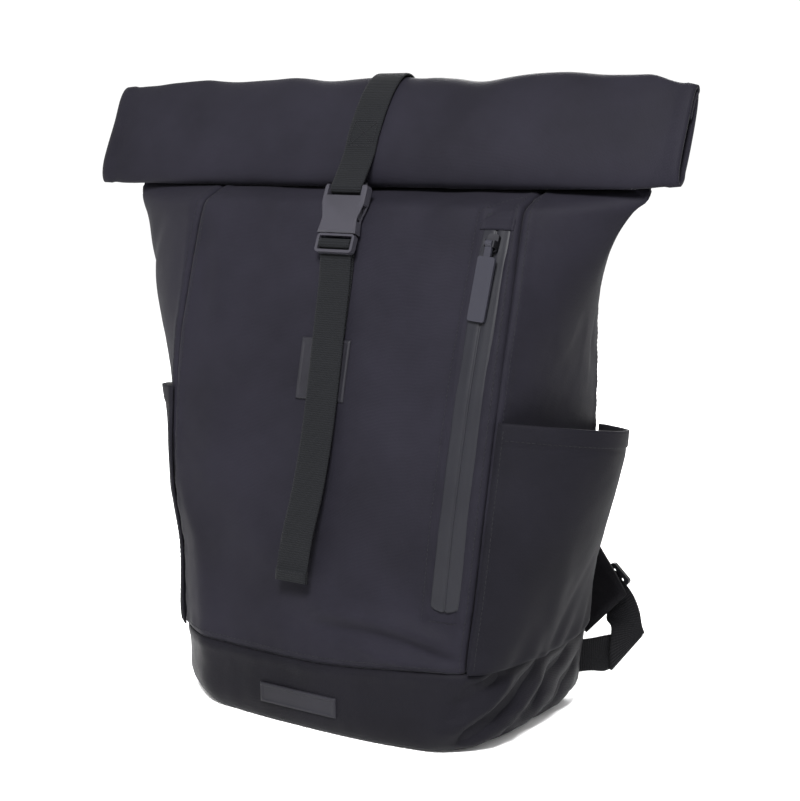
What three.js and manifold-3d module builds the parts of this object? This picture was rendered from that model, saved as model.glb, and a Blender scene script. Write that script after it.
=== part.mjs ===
// Rolltop backpack: a soft pack of coated cloth, rolled shut at the top and standing on its base.
// Millimetres, +Z up. The front faces -Y and +X is the right-hand side seen from the front.
// The origin is on the ground under the middle of the flat base.
import * as THREE from 'three';
import { mergeVertices } from 'three/addons/utils/BufferGeometryUtils.js';
import Module from 'manifold-3d';

const wasm = await Module();
wasm.setup();

// Cloth thicknesses and the small spaces between neighbours
const BODY_WALL = 2;
const POCKET_WALL = 1.5;
const ROLL_WALL = 2.4;
const WEBBING_WALL = 1.6;
const LABEL_WALL = 1.2;
const LABEL_GAP = 0.45;
const TAPE_WALL = 1;
const TAPE_GAP = 0.6;
const SEAM_GAP = 0.3;
const LAYER_GAP = 0.35;
const SLIP_GAP = 0.4;

// Body of the pack
const NECK_HEIGHT = 364;
const FRONT_HALF_WIDTH = 132;
const BACK_HALF_WIDTH = 137;
const FRONT_REACH = 80;
const BACK_REACH = 72;
const FRONT_BOW = 14;
const BACK_BOW = 3;
const NECK_FLARE = 68;
const NECK_YAW = 10;
const NECK_SHIFT = -2;
const NECK_HALF_GAP = 1.2;

// Base boot
const BOOT_HEIGHT = 48;
const BOOT_CORNER_RISE = 9;
const BOOT_ROUND = 22;
const BOOT_SIDE_TUCK = 20;
const BOOT_FRONT_TUCK = 6;

// Rolled top
const ROLL_OVERHANG = 27;
const ROLL_HALF_LENGTH = FRONT_HALF_WIDTH + NECK_FLARE + ROLL_OVERHANG;
const ROLL_HALF_HEIGHT = 43.5;
const ROLL_HALF_THICK = 17;
const ROLL_SHIFT = -4;
const ROLL_RISE = 34.5;
const ROLL_LEAN = 30;

// Side pockets
const POCKET_HEIGHT = 219;
const POCKET_BACK_DROP = 18;
const POCKET_BULGE_RIGHT = 44;
const POCKET_BULGE_LEFT = 10;
const POCKET_GAP = 0.8;
const POCKET_SEAM_INSET = 2.5;

// Webbing, labels and the zip
const WEBBING_WIDTH = 25;
const HEM_LENGTH = 8;
const TAIL_LENGTH = 198;
const TAIL_LIFT = 8;
const TAIL_SWAY = 4;
const UPPER_LABEL_WIDTH = 39;
const UPPER_LABEL_HEIGHT = 41;
const UPPER_LABEL_Z = NECK_HEIGHT - 122;
const BASE_LABEL_WIDTH = 63;
const BASE_LABEL_HEIGHT = 14;
const BASE_LABEL_Z = 20.5;
const LABEL_BORDER = 2;
const LABEL_RECESS = 0.4;
const STRAP_X = 2.5;
const ZIP_TOP_Z = NECK_HEIGHT - 16;
const ZIP_BOTTOM_Z = 97;
const ZIP_TOP_INSET = 16;
const ZIP_BOTTOM_INSET = 24;
const ZIP_STRIP_WIDTH = 22;
const ZIP_SLOT_WIDTH = 1.6;
const SLIDER_Z = ZIP_TOP_Z - 19;
const SLIDER_WIDTH = 8;
const SLIDER_LENGTH = 12;
const SLIDER_THICK = 2.6;
const PULLER_WIDTH = 12.5;
const PULLER_LENGTH = 50;
const PULLER_THICK = 2;
const PULLER_TILT = 4.5;
const HINGE_RADIUS = 0.9;
const EYE_WALL = 1;
const CHEEK_WALL = 1.2;
const HINGE_Y = -1;
const HINGE_LIFT = SLIDER_THICK + HINGE_RADIUS + EYE_WALL + 2 * SLIP_GAP;

// Side-release buckle
const BUCKLE_WIDTH = 34;
const SOCKET_LENGTH = 34;
const SOCKET_THICK = 8;
const SOCKET_SHELL = 1.8;
const BUCKLE_BAR = 3.6;
const BAR_FLATNESS = 0.55;
const BUCKLE_LEAN = 22;
const BUCKLE_Z = NECK_HEIGHT - 32.5;
const BUCKLE_STAND = 7;
const PLUG_FRAME_WIDTH = 30;
const PLUG_FRAME_LENGTH = 13;
const PLUG_THICK = 4.4;
const PLUG_BAR = 2.8;
const PLUG_SLOT = 3.4;
const PLUG_BAR_Y = -SLIP_GAP - PLUG_FRAME_LENGTH / 2 + 0.2;
const PRONG_LENGTH = 20;

// Shoulder straps
const PAD_WIDTH = 62;
const PAD_THICK = 10;
const PAD_TOP_X = 58;
const PAD_TOP_Z = NECK_HEIGHT - 46;
const PAD_RUN_OUT = 73;
const PAD_STAND_OFF = 35;
const PAD_SEAT = 0.3;
const PAD_RUN_DOWN = PAD_TOP_Z - 54;
const LOCK_LENGTH = 19;
const LOCK_WIDTH = 32;
const LOCK_THICK = 3.4;
const LOCK_BAR = 3;
const LOCK_SLOT = 4.2;
const LOCK_INSET = 9;
const LOCK_OFFSET = 11;
const ADJUSTER_TAIL = 62;
const FOLD_OUT = 36;
const FOLD_BACK = 45;
const FOLD_HEIGHT = 26;
const SEWN_X = 108;

// Sections of the body, bottom to top. up is a share of NECK_HEIGHT, halves are shares of the half
// widths, front and back of the reaches, bow of FRONT_BOW and flares of NECK_FLARE. Folds are the
// powers of the side's bulge, and rounds are corner radii as shares of FRONT_HALF_WIDTH.
const SECTION_COLUMNS = ['up', 'frontHalf', 'front', 'bow', 'frontPower', 'backHalf', 'back',
  'flareRight', 'flareLeft', 'fold', 'roundLeft', 'roundRight', 'yaw'];
const SECTION_ROWS = [
  [0.000, 0.94, 0.955, 1.00, 2.6, 0.95, 0.97, 0.12, 0.12, 2.5, 0.46, 0.20, 0.0],
  [0.060, 0.94, 0.965, 1.00, 2.6, 0.95, 0.97, 0.12, 0.12, 2.5, 0.46, 0.20, 0.0],
  [0.170, 0.955, 1.000, 0.80, 2.8, 0.97, 1.00, 0.14, 0.14, 2.5, 0.45, 0.12, 0.0],
  [0.291, 0.97, 0.937, 0.72, 3.0, 0.98, 1.00, 0.10, 0.12, 2.5, 0.36, 0.05, 0.0],
  [0.420, 0.985, 0.880, 0.65, 3.0, 0.99, 1.00, 0.08, 0.16, 2.5, 0.14, 0.02, 0.0],
  [0.550, 0.995, 0.790, 0.60, 3.0, 1.00, 1.00, 0.09, 0.36, 2.5, 0.04, 0.02, 0.0],
  [0.665, 1.000, 0.710, 0.50, 3.0, 1.00, 0.97, 0.16, 0.64, 2.4, 0.01, 0.01, 0.1],
  [0.797, 1.000, 0.600, 0.36, 3.0, 1.00, 0.86, 0.34, 0.92, 2.0, 0.01, 0.01, 0.4],
  [0.893, 0.995, 0.525, 0.21, 3.0, 0.99, 0.63, 0.57, 0.99, 1.5, 0.01, 0.01, 0.8],
  [0.962, 0.992, 0.450, 0.07, 3.0, 0.99, 0.33, 0.86, 1.00, 1.12, 0.01, 0.01, 1.0],
  [0.981, 0.992, 0.300, 0.00, 3.0, 0.99, 0.18, 1.00, 1.00, 1.05, 0.01, 0.01, 1.0],
];

// Sections of the roll from its left end to its right. along is a share of ROLL_HALF_LENGTH, forward of
// NECK_YAW, rise of ROLL_RISE, height and thick of the roll's own half sizes, and lean of ROLL_LEAN.
const ROLL_COLUMNS = ['along', 'forward', 'rise', 'height', 'thick', 'lean'];
const ROLL_ROWS = [
  [-1.00, -0.90, 0.90, 0.91, 0.50, 0.75],
  [-0.88, -0.80, 0.94, 0.95, 0.62, 0.80],
  [-0.50, -0.40, 1.00, 1.00, 0.88, 0.95],
  [0.00, -0.10, 1.00, 1.00, 1.00, 1.00],
  [0.30, 0.20, 0.99, 0.97, 0.98, 1.00],
  [0.55, 0.60, 1.02, 0.97, 0.88, 0.92],
  [0.85, 1.00, 1.03, 0.93, 0.62, 0.80],
  [0.93, 1.10, 0.97, 0.84, 0.52, 0.75],
  [1.00, 1.20, 0.94, 0.78, 0.48, 0.72],
];
const ROLL_START = -45;
const ROLL_END = 520;
const ROLL_STEP = 15;
const ROLL_POWER = 2.3;

// Free tail of the lower closure strap, top to hem. down is a share of its length, sway of TAIL_SWAY
// and lift of TAIL_LIFT.
const TAIL_ROWS = [
  [0.00, 0.0, 0.00],
  [0.14, 0.2, 0.03],
  [0.28, 0.4, 0.06],
  [0.42, 0.5, 0.10],
  [0.58, 0.5, 0.26],
  [0.74, 0.1, 0.52],
  [0.88, -0.6, 0.84],
  [1.00, -1.0, 1.00],
];

// Shoulder pad centre line, top to tip, as shares of the pad's run outward, its stand-off behind the
// back panel and its run down, with its width and thickness.
const PAD_COLUMNS = ['along', 'out', 'behind', 'down', 'width', 'thick'];
const PAD_ROWS = [
  [0.00, 0.00, 0.00, 0.00, 0.84, 0.70],
  [0.10, 0.00, 0.03, 0.09, 0.92, 0.90],
  [0.25, 0.00, 0.42, 0.24, 1.00, 1.00],
  [0.40, 0.03, 0.82, 0.41, 1.00, 1.00],
  [0.55, 0.12, 1.00, 0.57, 1.00, 1.00],
  [0.70, 0.27, 1.00, 0.73, 1.00, 1.00],
  [0.82, 0.52, 1.00, 0.86, 0.94, 1.00],
  [0.92, 0.79, 1.00, 0.945, 0.86, 0.90],
  [1.00, 1.00, 1.00, 1.00, 0.74, 0.60],
];

const cloth = (name, color, roughness = 0.85) =>
  new THREE.MeshStandardMaterial({ name, color, roughness, metalness: 0 });
const MATERIALS = {
  bodyCloth: cloth('body_cloth', 0x35343d),
  bootCloth: cloth('boot_cloth', 0x26252c),
  pocketCloth: cloth('pocket_cloth', 0x2a2930),
  zipTape: cloth('zip_tape', 0x36383e, 0.55),
  webbing: cloth('webbing', 0x2b2c32, 0.8),
  padding: cloth('strap_padding', 0x212025),
  label: cloth('label', 0x383841, 0.6),
  plastic: cloth('buckle_plastic', 0x4b4b54, 0.42),
  puller: cloth('puller_rubber', 0x44444f, 0.5),
};

const pack = new THREE.Group();
const radians = THREE.MathUtils.degToRad;
const lerp = THREE.MathUtils.lerp;
const smooth = (value) => THREE.MathUtils.smoothstep(value, 0, 1);

// Monotone curve through one column of a table, without overshoot between its rows
function tableColumn(names, rows, name) {
  const key = rows.map((row) => row[0]);
  const value = rows.map((row) => row[names.indexOf(name)]);
  const slope = key.slice(1).map((_, i) => (value[i + 1] - value[i]) / (key[i + 1] - key[i]));
  const tangent = key.map((_, i) => {
    if (i === 0) return slope[0];
    if (i === key.length - 1) return slope[i - 1];
    const before = slope[i - 1];
    const after = slope[i];
    return before * after <= 0 ? 0 : (2 * before * after) / (before + after);
  });
  return (at) => {
    const x = Math.min(Math.max(at, key[0]), key[key.length - 1]);
    let i = 0;
    while (i < key.length - 2 && x > key[i + 1]) i += 1;
    const span = key[i + 1] - key[i];
    const t = (x - key[i]) / span;
    const rise = value[i] * (1 + 2 * t) * (1 - t) ** 2 + value[i + 1] * t * t * (3 - 2 * t);
    return rise + span * (tangent[i] * t * (1 - t) ** 2 + tangent[i + 1] * t * t * (t - 1));
  };
}

function tableReader(names, rows) {
  const columns = new Map(names.slice(1).map((name) => [name, tableColumn(names, rows, name)]));
  return (at) => Object.fromEntries([...columns].map(([name, curve]) => [name, curve(at)]));
}

const readSection = tableReader(SECTION_COLUMNS, SECTION_ROWS);
const readRoll = tableReader(ROLL_COLUMNS, ROLL_ROWS);

// Shares of the way along each panel, closer together near its corners
const FRONT_STEPS = [0, 0.05, 0.11, 0.18, 0.28, 0.39, 0.5, 0.61, 0.72, 0.82, 0.89, 0.95, 1];
const SIDE_STEPS = [0, 0.12, 0.24, 0.37, 0.5, 0.63, 0.76, 0.88, 1];
const BACK_STEPS = [0, 0.08, 0.22, 0.4, 0.6, 0.78, 0.92, 1];

// Outline of one panel at one height, before its corners are rounded
function sectionAt(z) {
  const share = z / NECK_HEIGHT;
  const row = readSection(share);
  const neck = smooth((share - 0.981) / 0.019);
  const half = NECK_HALF_GAP + BODY_WALL;
  return {
    frontHalf: row.frontHalf * FRONT_HALF_WIDTH,
    backHalf: row.backHalf * BACK_HALF_WIDTH,
    front: lerp(-row.front * FRONT_REACH, NECK_SHIFT - half, neck),
    back: lerp(row.back * BACK_REACH, NECK_SHIFT + half, neck),
    bow: row.bow * FRONT_BOW,
    backBow: BACK_BOW * (1 - neck) * row.back,
    power: row.frontPower,
    fold: row.fold,
    flare: { right: row.flareRight * NECK_FLARE, left: row.flareLeft * NECK_FLARE },
    round: { right: row.roundRight * FRONT_HALF_WIDTH, left: row.roundLeft * FRONT_HALF_WIDTH },
    yaw: row.yaw * NECK_YAW,
  };
}

function frontPoint(section, share) {
  const s = 2 * share - 1;
  return [section.frontHalf * s, section.front - section.bow * (1 - Math.abs(s) ** section.power)];
}

function sidePoint(section, share, side) {
  const q = 2 * share - 1;
  const out = lerp(section.frontHalf, section.backHalf, share)
    + section.flare[side] * (1 - Math.abs(q) ** section.fold);
  return [side === 'right' ? out : -out, lerp(section.front, section.back, share)];
}

function backPoint(section, share) {
  const s = 2 * share - 1;
  return [-section.backHalf * s, section.back + section.backBow * (1 - s * s)];
}

// A corner between two panels, drawn in to a round of the given radius
function roundCorner(point, corner, alongA, alongB, radius) {
  const distance = Math.hypot(point[0] - corner[0], point[1] - corner[1]);
  if (distance >= radius || radius < 1) return point;
  const q = 0.5 + (0.5 * distance) / radius;
  const near = [corner[0] + alongA[0] * radius, corner[1] + alongA[1] * radius];
  const far = [corner[0] + alongB[0] * radius, corner[1] + alongB[1] * radius];
  return [0, 1].map((k) => (1 - q) ** 2 * far[k] + 2 * q * (1 - q) * corner[k] + q * q * near[k]);
}

function unitTo(from, to) {
  const length = Math.hypot(to[0] - from[0], to[1] - from[1]);
  return [(to[0] - from[0]) / length, (to[1] - from[1]) / length];
}

// The whole outline at one height, as four panels that share their corner points
function outlineAt(z) {
  const section = sectionAt(z);
  const front = FRONT_STEPS.map((share) => frontPoint(section, share));
  const right = SIDE_STEPS.map((share) => sidePoint(section, share, 'right'));
  const back = BACK_STEPS.map((share) => backPoint(section, share));
  const left = SIDE_STEPS.map((share) => sidePoint(section, 1 - share, 'left'));
  const corners = [
    { at: right[0], a: front, aNext: front.length - 2, b: right, bNext: 1, radius: section.round.right },
    { at: front[0], a: left, aNext: left.length - 2, b: front, bNext: 1, radius: section.round.left },
  ];
  for (const corner of corners) {
    const at = [...corner.at];
    const alongA = unitTo(at, corner.a[corner.aNext]);
    const alongB = unitTo(at, corner.b[corner.bNext]);
    for (const panel of [corner.a, corner.b]) {
      const near = panel === corner.a ? alongA : alongB;
      const far = panel === corner.a ? alongB : alongA;
      panel.forEach((point, i) => {
        const rounded = roundCorner(point, at, near, far, corner.radius);
        panel[i] = rounded;
      });
    }
  }
  const turn = (point) => [point[0], point[1] + (section.yaw * point[0]) / (FRONT_HALF_WIDTH + NECK_FLARE)];
  return { front: front.map(turn), right: right.map(turn), back: back.map(turn), left: left.map(turn) };
}

// Outward directions along a closed outline, lengthened at corners so that walls keep their thickness
function outwardDirections(points) {
  return points.map((point, i) => {
    const before = points[(i + points.length - 1) % points.length];
    const after = points[(i + 1) % points.length];
    const a = unitTo(before, point);
    const b = unitTo(point, after);
    const sum = [a[1] + b[1], -a[0] - b[0]];
    const length = Math.hypot(...sum) || 1;
    const unit = [sum[0] / length, sum[1] / length];
    const spread = Math.max(unit[0] * a[1] - unit[1] * a[0], 0.45);
    return [unit[0] / spread, unit[1] / spread];
  });
}

// Outer and inner points of one panel at one height, each end pulled back for the seam
function panelRow(z, name, offset = 0, wall = BODY_WALL, trim = SEAM_GAP / 2) {
  const outline = outlineAt(z);
  const order = ['front', 'right', 'back', 'left'];
  const ring = order.flatMap((panel) => outline[panel].slice(0, -1));
  const directions = outwardDirections(ring);
  const start = order.slice(0, order.indexOf(name)).reduce((sum, panel) => sum + outline[panel].length - 1, 0);
  const count = outline[name].length;
  const points = outline[name].map((point) => [...point]);
  const outward = points.map((_, i) => directions[(start + i) % ring.length]);
  const first = unitTo(points[0], points[1]);
  const last = unitTo(points[count - 1], points[count - 2]);
  points[0] = [points[0][0] + first[0] * trim, points[0][1] + first[1] * trim];
  points[count - 1] = [points[count - 1][0] + last[0] * trim, points[count - 1][1] + last[1] * trim];
  const place = (distance) => points.map((point, i) =>
    [point[0] + outward[i][0] * distance, point[1] + outward[i][1] * distance, z]);
  return { outer: place(offset), inner: place(offset - wall) };
}

// Height of the seam between the boot and the panels, at one share along a panel
function bootSeam(name, share) {
  const rise = { front: smooth(2 * share - 1), right: 1, back: 1 - share, left: 0 }[name];
  return BOOT_HEIGHT + BOOT_CORNER_RISE * rise;
}

// Closed solid between two grids of points, rows upward and columns anticlockwise seen from above
function solidFromGrids(outer, inner) {
  const rows = outer.length;
  const columns = outer[0].length;
  const positions = [...outer.flat(), ...inner.flat()].flat();
  const offset = rows * columns;
  const out = (i, j) => i * columns + j;
  const into = (i, j) => offset + i * columns + j;
  const index = [];
  const quad = (a, b, c, d) => index.push(a, b, c, a, c, d);
  for (let i = 0; i < rows - 1; i += 1) {
    for (let j = 0; j < columns - 1; j += 1) {
      quad(out(i, j), out(i, j + 1), out(i + 1, j + 1), out(i + 1, j));
      quad(into(i, j), into(i + 1, j), into(i + 1, j + 1), into(i, j + 1));
    }
  }
  for (let j = 0; j < columns - 1; j += 1) {
    quad(out(0, j), into(0, j), into(0, j + 1), out(0, j + 1));
    quad(out(rows - 1, j), out(rows - 1, j + 1), into(rows - 1, j + 1), into(rows - 1, j));
  }
  for (let i = 0; i < rows - 1; i += 1) {
    quad(out(i, 0), out(i + 1, 0), into(i + 1, 0), into(i, 0));
    quad(out(i, columns - 1), into(i, columns - 1), into(i + 1, columns - 1), out(i + 1, columns - 1));
  }
  return facingOut(positions, index);
}

function facingOut(positions, index) {
  const geometry = new THREE.BufferGeometry();
  const point = (i) => new THREE.Vector3().fromArray(positions, 3 * i);
  let volume = 0;
  for (let i = 0; i < index.length; i += 3) {
    volume += point(index[i]).dot(point(index[i + 1]).cross(point(index[i + 2])));
  }
  const turned = volume > 0 ? index : [...index].reverse();
  geometry.setAttribute('position', new THREE.Float32BufferAttribute(positions, 3));
  geometry.setIndex(turned);
  return geometry;
}

function addPiece(name, geometry, material, parent = pack) {
  geometry.computeVertexNormals();
  const mesh = new THREE.Mesh(geometry, material);
  mesh.name = name;
  parent.add(mesh);
  return mesh;
}

// Join and cut with solids made from closed geometries
function toSolid(geometry) {
  const bare = geometry.clone();
  bare.deleteAttribute('normal');
  bare.deleteAttribute('uv');
  const merged = mergeVertices(bare, 1e-4);
  return new wasm.Manifold(new wasm.Mesh({
    numProp: 3,
    vertProperties: new Float32Array(merged.attributes.position.array),
    triVerts: new Uint32Array(merged.index.array),
  }));
}

function fromSolid(solid) {
  const mesh = solid.getMesh();
  const geometry = new THREE.BufferGeometry();
  geometry.setAttribute('position', new THREE.Float32BufferAttribute(mesh.vertProperties, 3));
  geometry.setIndex(new THREE.Uint32BufferAttribute(mesh.triVerts, 1));
  return geometry;
}

function box(width, length, thick, x = 0, y = 0, z = 0) {
  return new THREE.BoxGeometry(width, length, thick).translate(x, y, z);
}

// Flat outline with rounded corners, extruded symmetrically about its own plane
function plate(width, length, thick, radius, x = 0, y = 0, z = 0) {
  const shape = new THREE.Shape();
  const w = width / 2 - radius;
  const l = length / 2 - radius;
  shape.absarc(w, l, radius, 0, Math.PI / 2);
  shape.absarc(-w, l, radius, Math.PI / 2, Math.PI);
  shape.absarc(-w, -l, radius, Math.PI, 1.5 * Math.PI);
  shape.absarc(w, -l, radius, 1.5 * Math.PI, 2 * Math.PI);
  shape.closePath();
  const settings = { depth: thick, bevelEnabled: false, curveSegments: 3 };
  return new THREE.ExtrudeGeometry(shape, settings).translate(x, y, z - thick / 2);
}

// Levels of the panels between the boot seam and the neck, as shares
const PANEL_LEVELS = [0, 0.06, 0.16, 0.3, 0.44, 0.58, 0.7, 0.8, 0.88, 0.94, 0.965, 0.982, 1];

function panelSolid(name) {
  const steps = { front: FRONT_STEPS, right: SIDE_STEPS, back: BACK_STEPS, left: SIDE_STEPS }[name];
  const outer = [];
  const inner = [];
  for (const level of PANEL_LEVELS) {
    const rows = steps.map((share, j) => {
      const z = lerp(bootSeam(name, share) + SEAM_GAP, NECK_HEIGHT, level);
      const row = panelRow(z, name);
      return { outer: row.outer[j], inner: row.inner[j] };
    });
    outer.push(rows.map((point) => point.outer));
    inner.push(rows.map((point) => point.inner));
  }
  return solidFromGrids(outer, inner);
}

const frontPanel = addPiece('front_panel', panelSolid('front'), MATERIALS.bodyCloth);
addPiece('side_panel_right', panelSolid('right'), MATERIALS.bodyCloth);
addPiece('side_panel_left', panelSolid('left'), MATERIALS.bodyCloth);
const backPanel = addPiece('back_panel', panelSolid('back'), MATERIALS.bodyCloth);

// Boot: an open tray whose walls turn under to a flat floor
function bootSolid() {
  const names = ['front', 'right', 'back', 'left'];
  const steps = { front: FRONT_STEPS, right: SIDE_STEPS, back: BACK_STEPS, left: SIDE_STEPS };
  const columns = names.flatMap((name) => steps[name].slice(0, -1).map((share, j) => ({ name, share, j })));
  const wallLevels = [1, 0.6, 0];
  const turnAngles = [25, 50, 70, 90];
  const levelAt = (column, level) => lerp(BOOT_ROUND, bootSeam(column.name, column.share), level);
  const outer = [];
  const inner = [];
  for (const level of wallLevels) {
    const rows = columns.map((column) => {
      const row = panelRow(levelAt(column, level), column.name, 0, BODY_WALL, 0);
      return { outer: row.outer[column.j], inner: row.inner[column.j] };
    });
    outer.push(rows.map((point) => point.outer));
    inner.push(rows.map((point) => point.inner));
  }
  const tuckedPoint = (point, tuck, z) => {
    const forward = point[1] < 0 ? BOOT_FRONT_TUCK : 0;
    const shareX = 1 - (tuck * BOOT_SIDE_TUCK) / FRONT_HALF_WIDTH;
    const shareY = 1 - (tuck * forward) / FRONT_REACH;
    return [point[0] * shareX, point[1] * shareY, z];
  };
  for (const angle of turnAngles) {
    const tuck = 1 - Math.cos(radians(angle));
    const drop = Math.sin(radians(angle));
    const last = wallLevels.length - 1;
    outer.push(outer[last].map((point) => tuckedPoint(point, tuck, BOOT_ROUND * (1 - drop))));
    const floor = BODY_WALL + (BOOT_ROUND - BODY_WALL) * (1 - drop);
    inner.push(inner[last].map((point) => tuckedPoint(point, tuck, floor)));
  }
  const rows = outer.length;
  const count = columns.length;
  const positions = [...outer.flat(), ...inner.flat(), [0, 0, 0], [0, 0, BODY_WALL]].flat();
  const out = (i, j) => i * count + (j % count);
  const into = (i, j) => (rows + i) * count + (j % count);
  const index = [];
  const quad = (a, b, c, d) => index.push(a, b, c, a, c, d);
  for (let j = 0; j < count; j += 1) {
    for (let i = 0; i < rows - 1; i += 1) {
      quad(out(i, j), out(i + 1, j), out(i + 1, j + 1), out(i, j + 1));
      quad(into(i, j), into(i, j + 1), into(i + 1, j + 1), into(i + 1, j));
    }
    quad(out(0, j), out(0, j + 1), into(0, j + 1), into(0, j));
    index.push(out(rows - 1, j), 2 * rows * count, out(rows - 1, j + 1));
    index.push(into(rows - 1, j), into(rows - 1, j + 1), 2 * rows * count + 1);
  }
  return facingOut(positions, index);
}

const boot = addPiece('base_boot', bootSolid(), MATERIALS.bootCloth);

// Side pockets: bellied sheets sewn along both side seams and above the boot, open at the mouth
function pocketSolid(side) {
  const levels = [0, 0.14, 0.32, 0.52, 0.76, 1];
  const mirrored = side === 'left';
  const bulge = mirrored ? POCKET_BULGE_LEFT : POCKET_BULGE_RIGHT;
  const outer = [];
  const inner = [];
  for (const level of levels) {
    const rows = SIDE_STEPS.map((step, j) => {
      const share = mirrored ? 1 - step : step;
      const mouth = POCKET_HEIGHT - POCKET_BACK_DROP * share;
      const z = lerp(bootSeam(side, step) + SEAM_GAP, mouth, level);
      const row = panelRow(z, side, POCKET_GAP + POCKET_WALL, POCKET_WALL, POCKET_SEAM_INSET);
      const belly = bulge * smooth(0.12 + 0.88 * level) ** 0.8 * (1 - Math.abs(2 * share ** 0.9 - 1) ** 2.2);
      const push = (point) => [point[0] + (mirrored ? -belly : belly), point[1], point[2]];
      return { outer: push(row.outer[j]), inner: push(row.inner[j]) };
    });
    outer.push(rows.map((point) => point.outer));
    inner.push(rows.map((point) => point.inner));
  }
  return solidFromGrids(outer, inner);
}

addPiece('side_pocket_right', pocketSolid('right'), MATERIALS.pocketCloth);
addPiece('side_pocket_left', pocketSolid('left'), MATERIALS.pocketCloth);

// Rolled top: the flattened mouth of the pack wound forward into a leaning, flat spiral.
// depth is measured inward from the roll's outer face.
function rollPoint(along, angle, depth) {
  const row = readRoll(along);
  const turns = (angle - ROLL_START) / 360;
  const shrink = Math.max(0, turns - 0.2) * (ROLL_WALL + LAYER_GAP) * 1.2 + depth;
  const signedPower = (value) => Math.sign(value) * Math.abs(value) ** (2 / ROLL_POWER);
  const a = (row.thick * ROLL_HALF_THICK - shrink) * signedPower(Math.cos(radians(angle)));
  const b = (row.height * ROLL_HALF_HEIGHT - shrink) * signedPower(Math.sin(radians(angle)));
  const lean = radians(row.lean * ROLL_LEAN);
  const centre = [row.forward * NECK_YAW, NECK_HEIGHT + row.rise * ROLL_RISE];
  return [centre[0] + a * Math.cos(lean) + b * Math.sin(lean), centre[1] - a * Math.sin(lean) + b * Math.cos(lean)];
}

function rollSolid() {
  const stations = ROLL_ROWS.map((row) => row[0]);
  const between = stations.slice(1).map((value, i) => (value + stations[i]) / 2);
  const along = [...stations, ...between].sort((a, b) => a - b);
  const neckHalf = FRONT_HALF_WIDTH + NECK_FLARE;
  const outer = [];
  const inner = [];
  for (let angle = ROLL_START; angle <= ROLL_END; angle += ROLL_STEP) {
    const blend = smooth((angle - ROLL_START) / 45);
    const half = lerp(neckHalf, ROLL_HALF_LENGTH, smooth((angle - ROLL_START) / 120));
    const point = (share, depth) => {
      const rolled = rollPoint(share, angle, depth);
      const x = share * half + blend * ROLL_SHIFT;
      const neckY = NECK_SHIFT + (NECK_YAW * x) / neckHalf + (ROLL_WALL / 2 - depth);
      return [x, lerp(neckY, rolled[0], blend), lerp(NECK_HEIGHT + SEAM_GAP, rolled[1], blend)];
    };
    outer.push(along.map((share) => point(share, 0)));
    inner.push(along.map((share) => point(share, ROLL_WALL)));
  }
  return solidFromGrids(outer, inner);
}

addPiece('roll_top', rollSolid(), MATERIALS.bodyCloth);

// Outermost y of a piece's faces at a given x and height, towards the front or the back
function faceReader(mesh, towards) {
  const { position } = mesh.geometry.attributes;
  const corners = Array.from(mesh.geometry.index.array, (i) => [position.getX(i), position.getY(i), position.getZ(i)]);
  return (x, z) => {
    let found = -Infinity;
    for (let i = 0; i < corners.length; i += 3) {
      const [a, b, c] = corners.slice(i, i + 3);
      const area = (b[0] - a[0]) * (c[2] - a[2]) - (c[0] - a[0]) * (b[2] - a[2]);
      const u = ((x - a[0]) * (c[2] - a[2]) - (c[0] - a[0]) * (z - a[2])) / area;
      const v = ((b[0] - a[0]) * (z - a[2]) - (x - a[0]) * (b[2] - a[2])) / area;
      if (u >= -1e-6 && v >= -1e-6 && u + v <= 1 + 1e-6) {
        found = Math.max(found, towards * (a[1] + u * (b[1] - a[1]) + v * (c[1] - a[1])));
      }
    }
    return towards * found;
  };
}

const frontSurface = faceReader(frontPanel, -1);
const backSurface = faceReader(backPanel, 1);
const bootFront = faceReader(boot, -1);
const bootBack = faceReader(boot, 1);

// Outermost y under a band of the given half width, so that a flat band clears a curved face
const frontUnder = (x, z, half) => Math.min(...[-1, 0, 1].map((k) => frontSurface(x + k * half, z)));
const backUnder = (x, z, half) => Math.max(...[-1, 0, 1].map((k) => backSurface(x + k * half, z)));

// Flat band along a path. Each stop has a centre, a width direction and, where it changes, a thickness.
function bandSolid(stops, width, wall) {
  const centres = stops.map((stop) => new THREE.Vector3(...stop.at));
  const outer = [];
  const inner = [];
  stops.forEach((stop, i) => {
    const before = centres[Math.max(i - 1, 0)];
    const after = centres[Math.min(i + 1, stops.length - 1)];
    const tangent = after.clone().sub(before).normalize();
    const across = new THREE.Vector3(...(stop.across ?? [1, 0, 0]));
    const normal = across.clone().cross(tangent).normalize();
    const half = across.clone().multiplyScalar(((stop.width ?? width) * (stop.stretch ?? 1)) / 2);
    const lift = normal.multiplyScalar((stop.wall ?? wall) / 2);
    const middle = centres[i];
    const row = (sign) => [-1, 0, 1].map((k) =>
      middle.clone().addScaledVector(half, k).addScaledVector(lift, sign).toArray());
    outer.push(row(1));
    inner.push(row(-1));
  });
  return solidFromGrids(outer, inner);
}

// The buckle's own frame: x across, y up the strap, z out of the pack, with the plug's mouth at the origin
const buckle = new THREE.Group();
const buckleY = frontSurface(STRAP_X, BUCKLE_Z) - BUCKLE_STAND;
buckle.position.set(STRAP_X, buckleY, BUCKLE_Z);
buckle.rotation.x = radians(90 - BUCKLE_LEAN);
pack.add(buckle);
buckle.updateMatrixWorld(true);
const onBuckle = (y, z) => buckle.localToWorld(new THREE.Vector3(0, y, z)).toArray();

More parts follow.
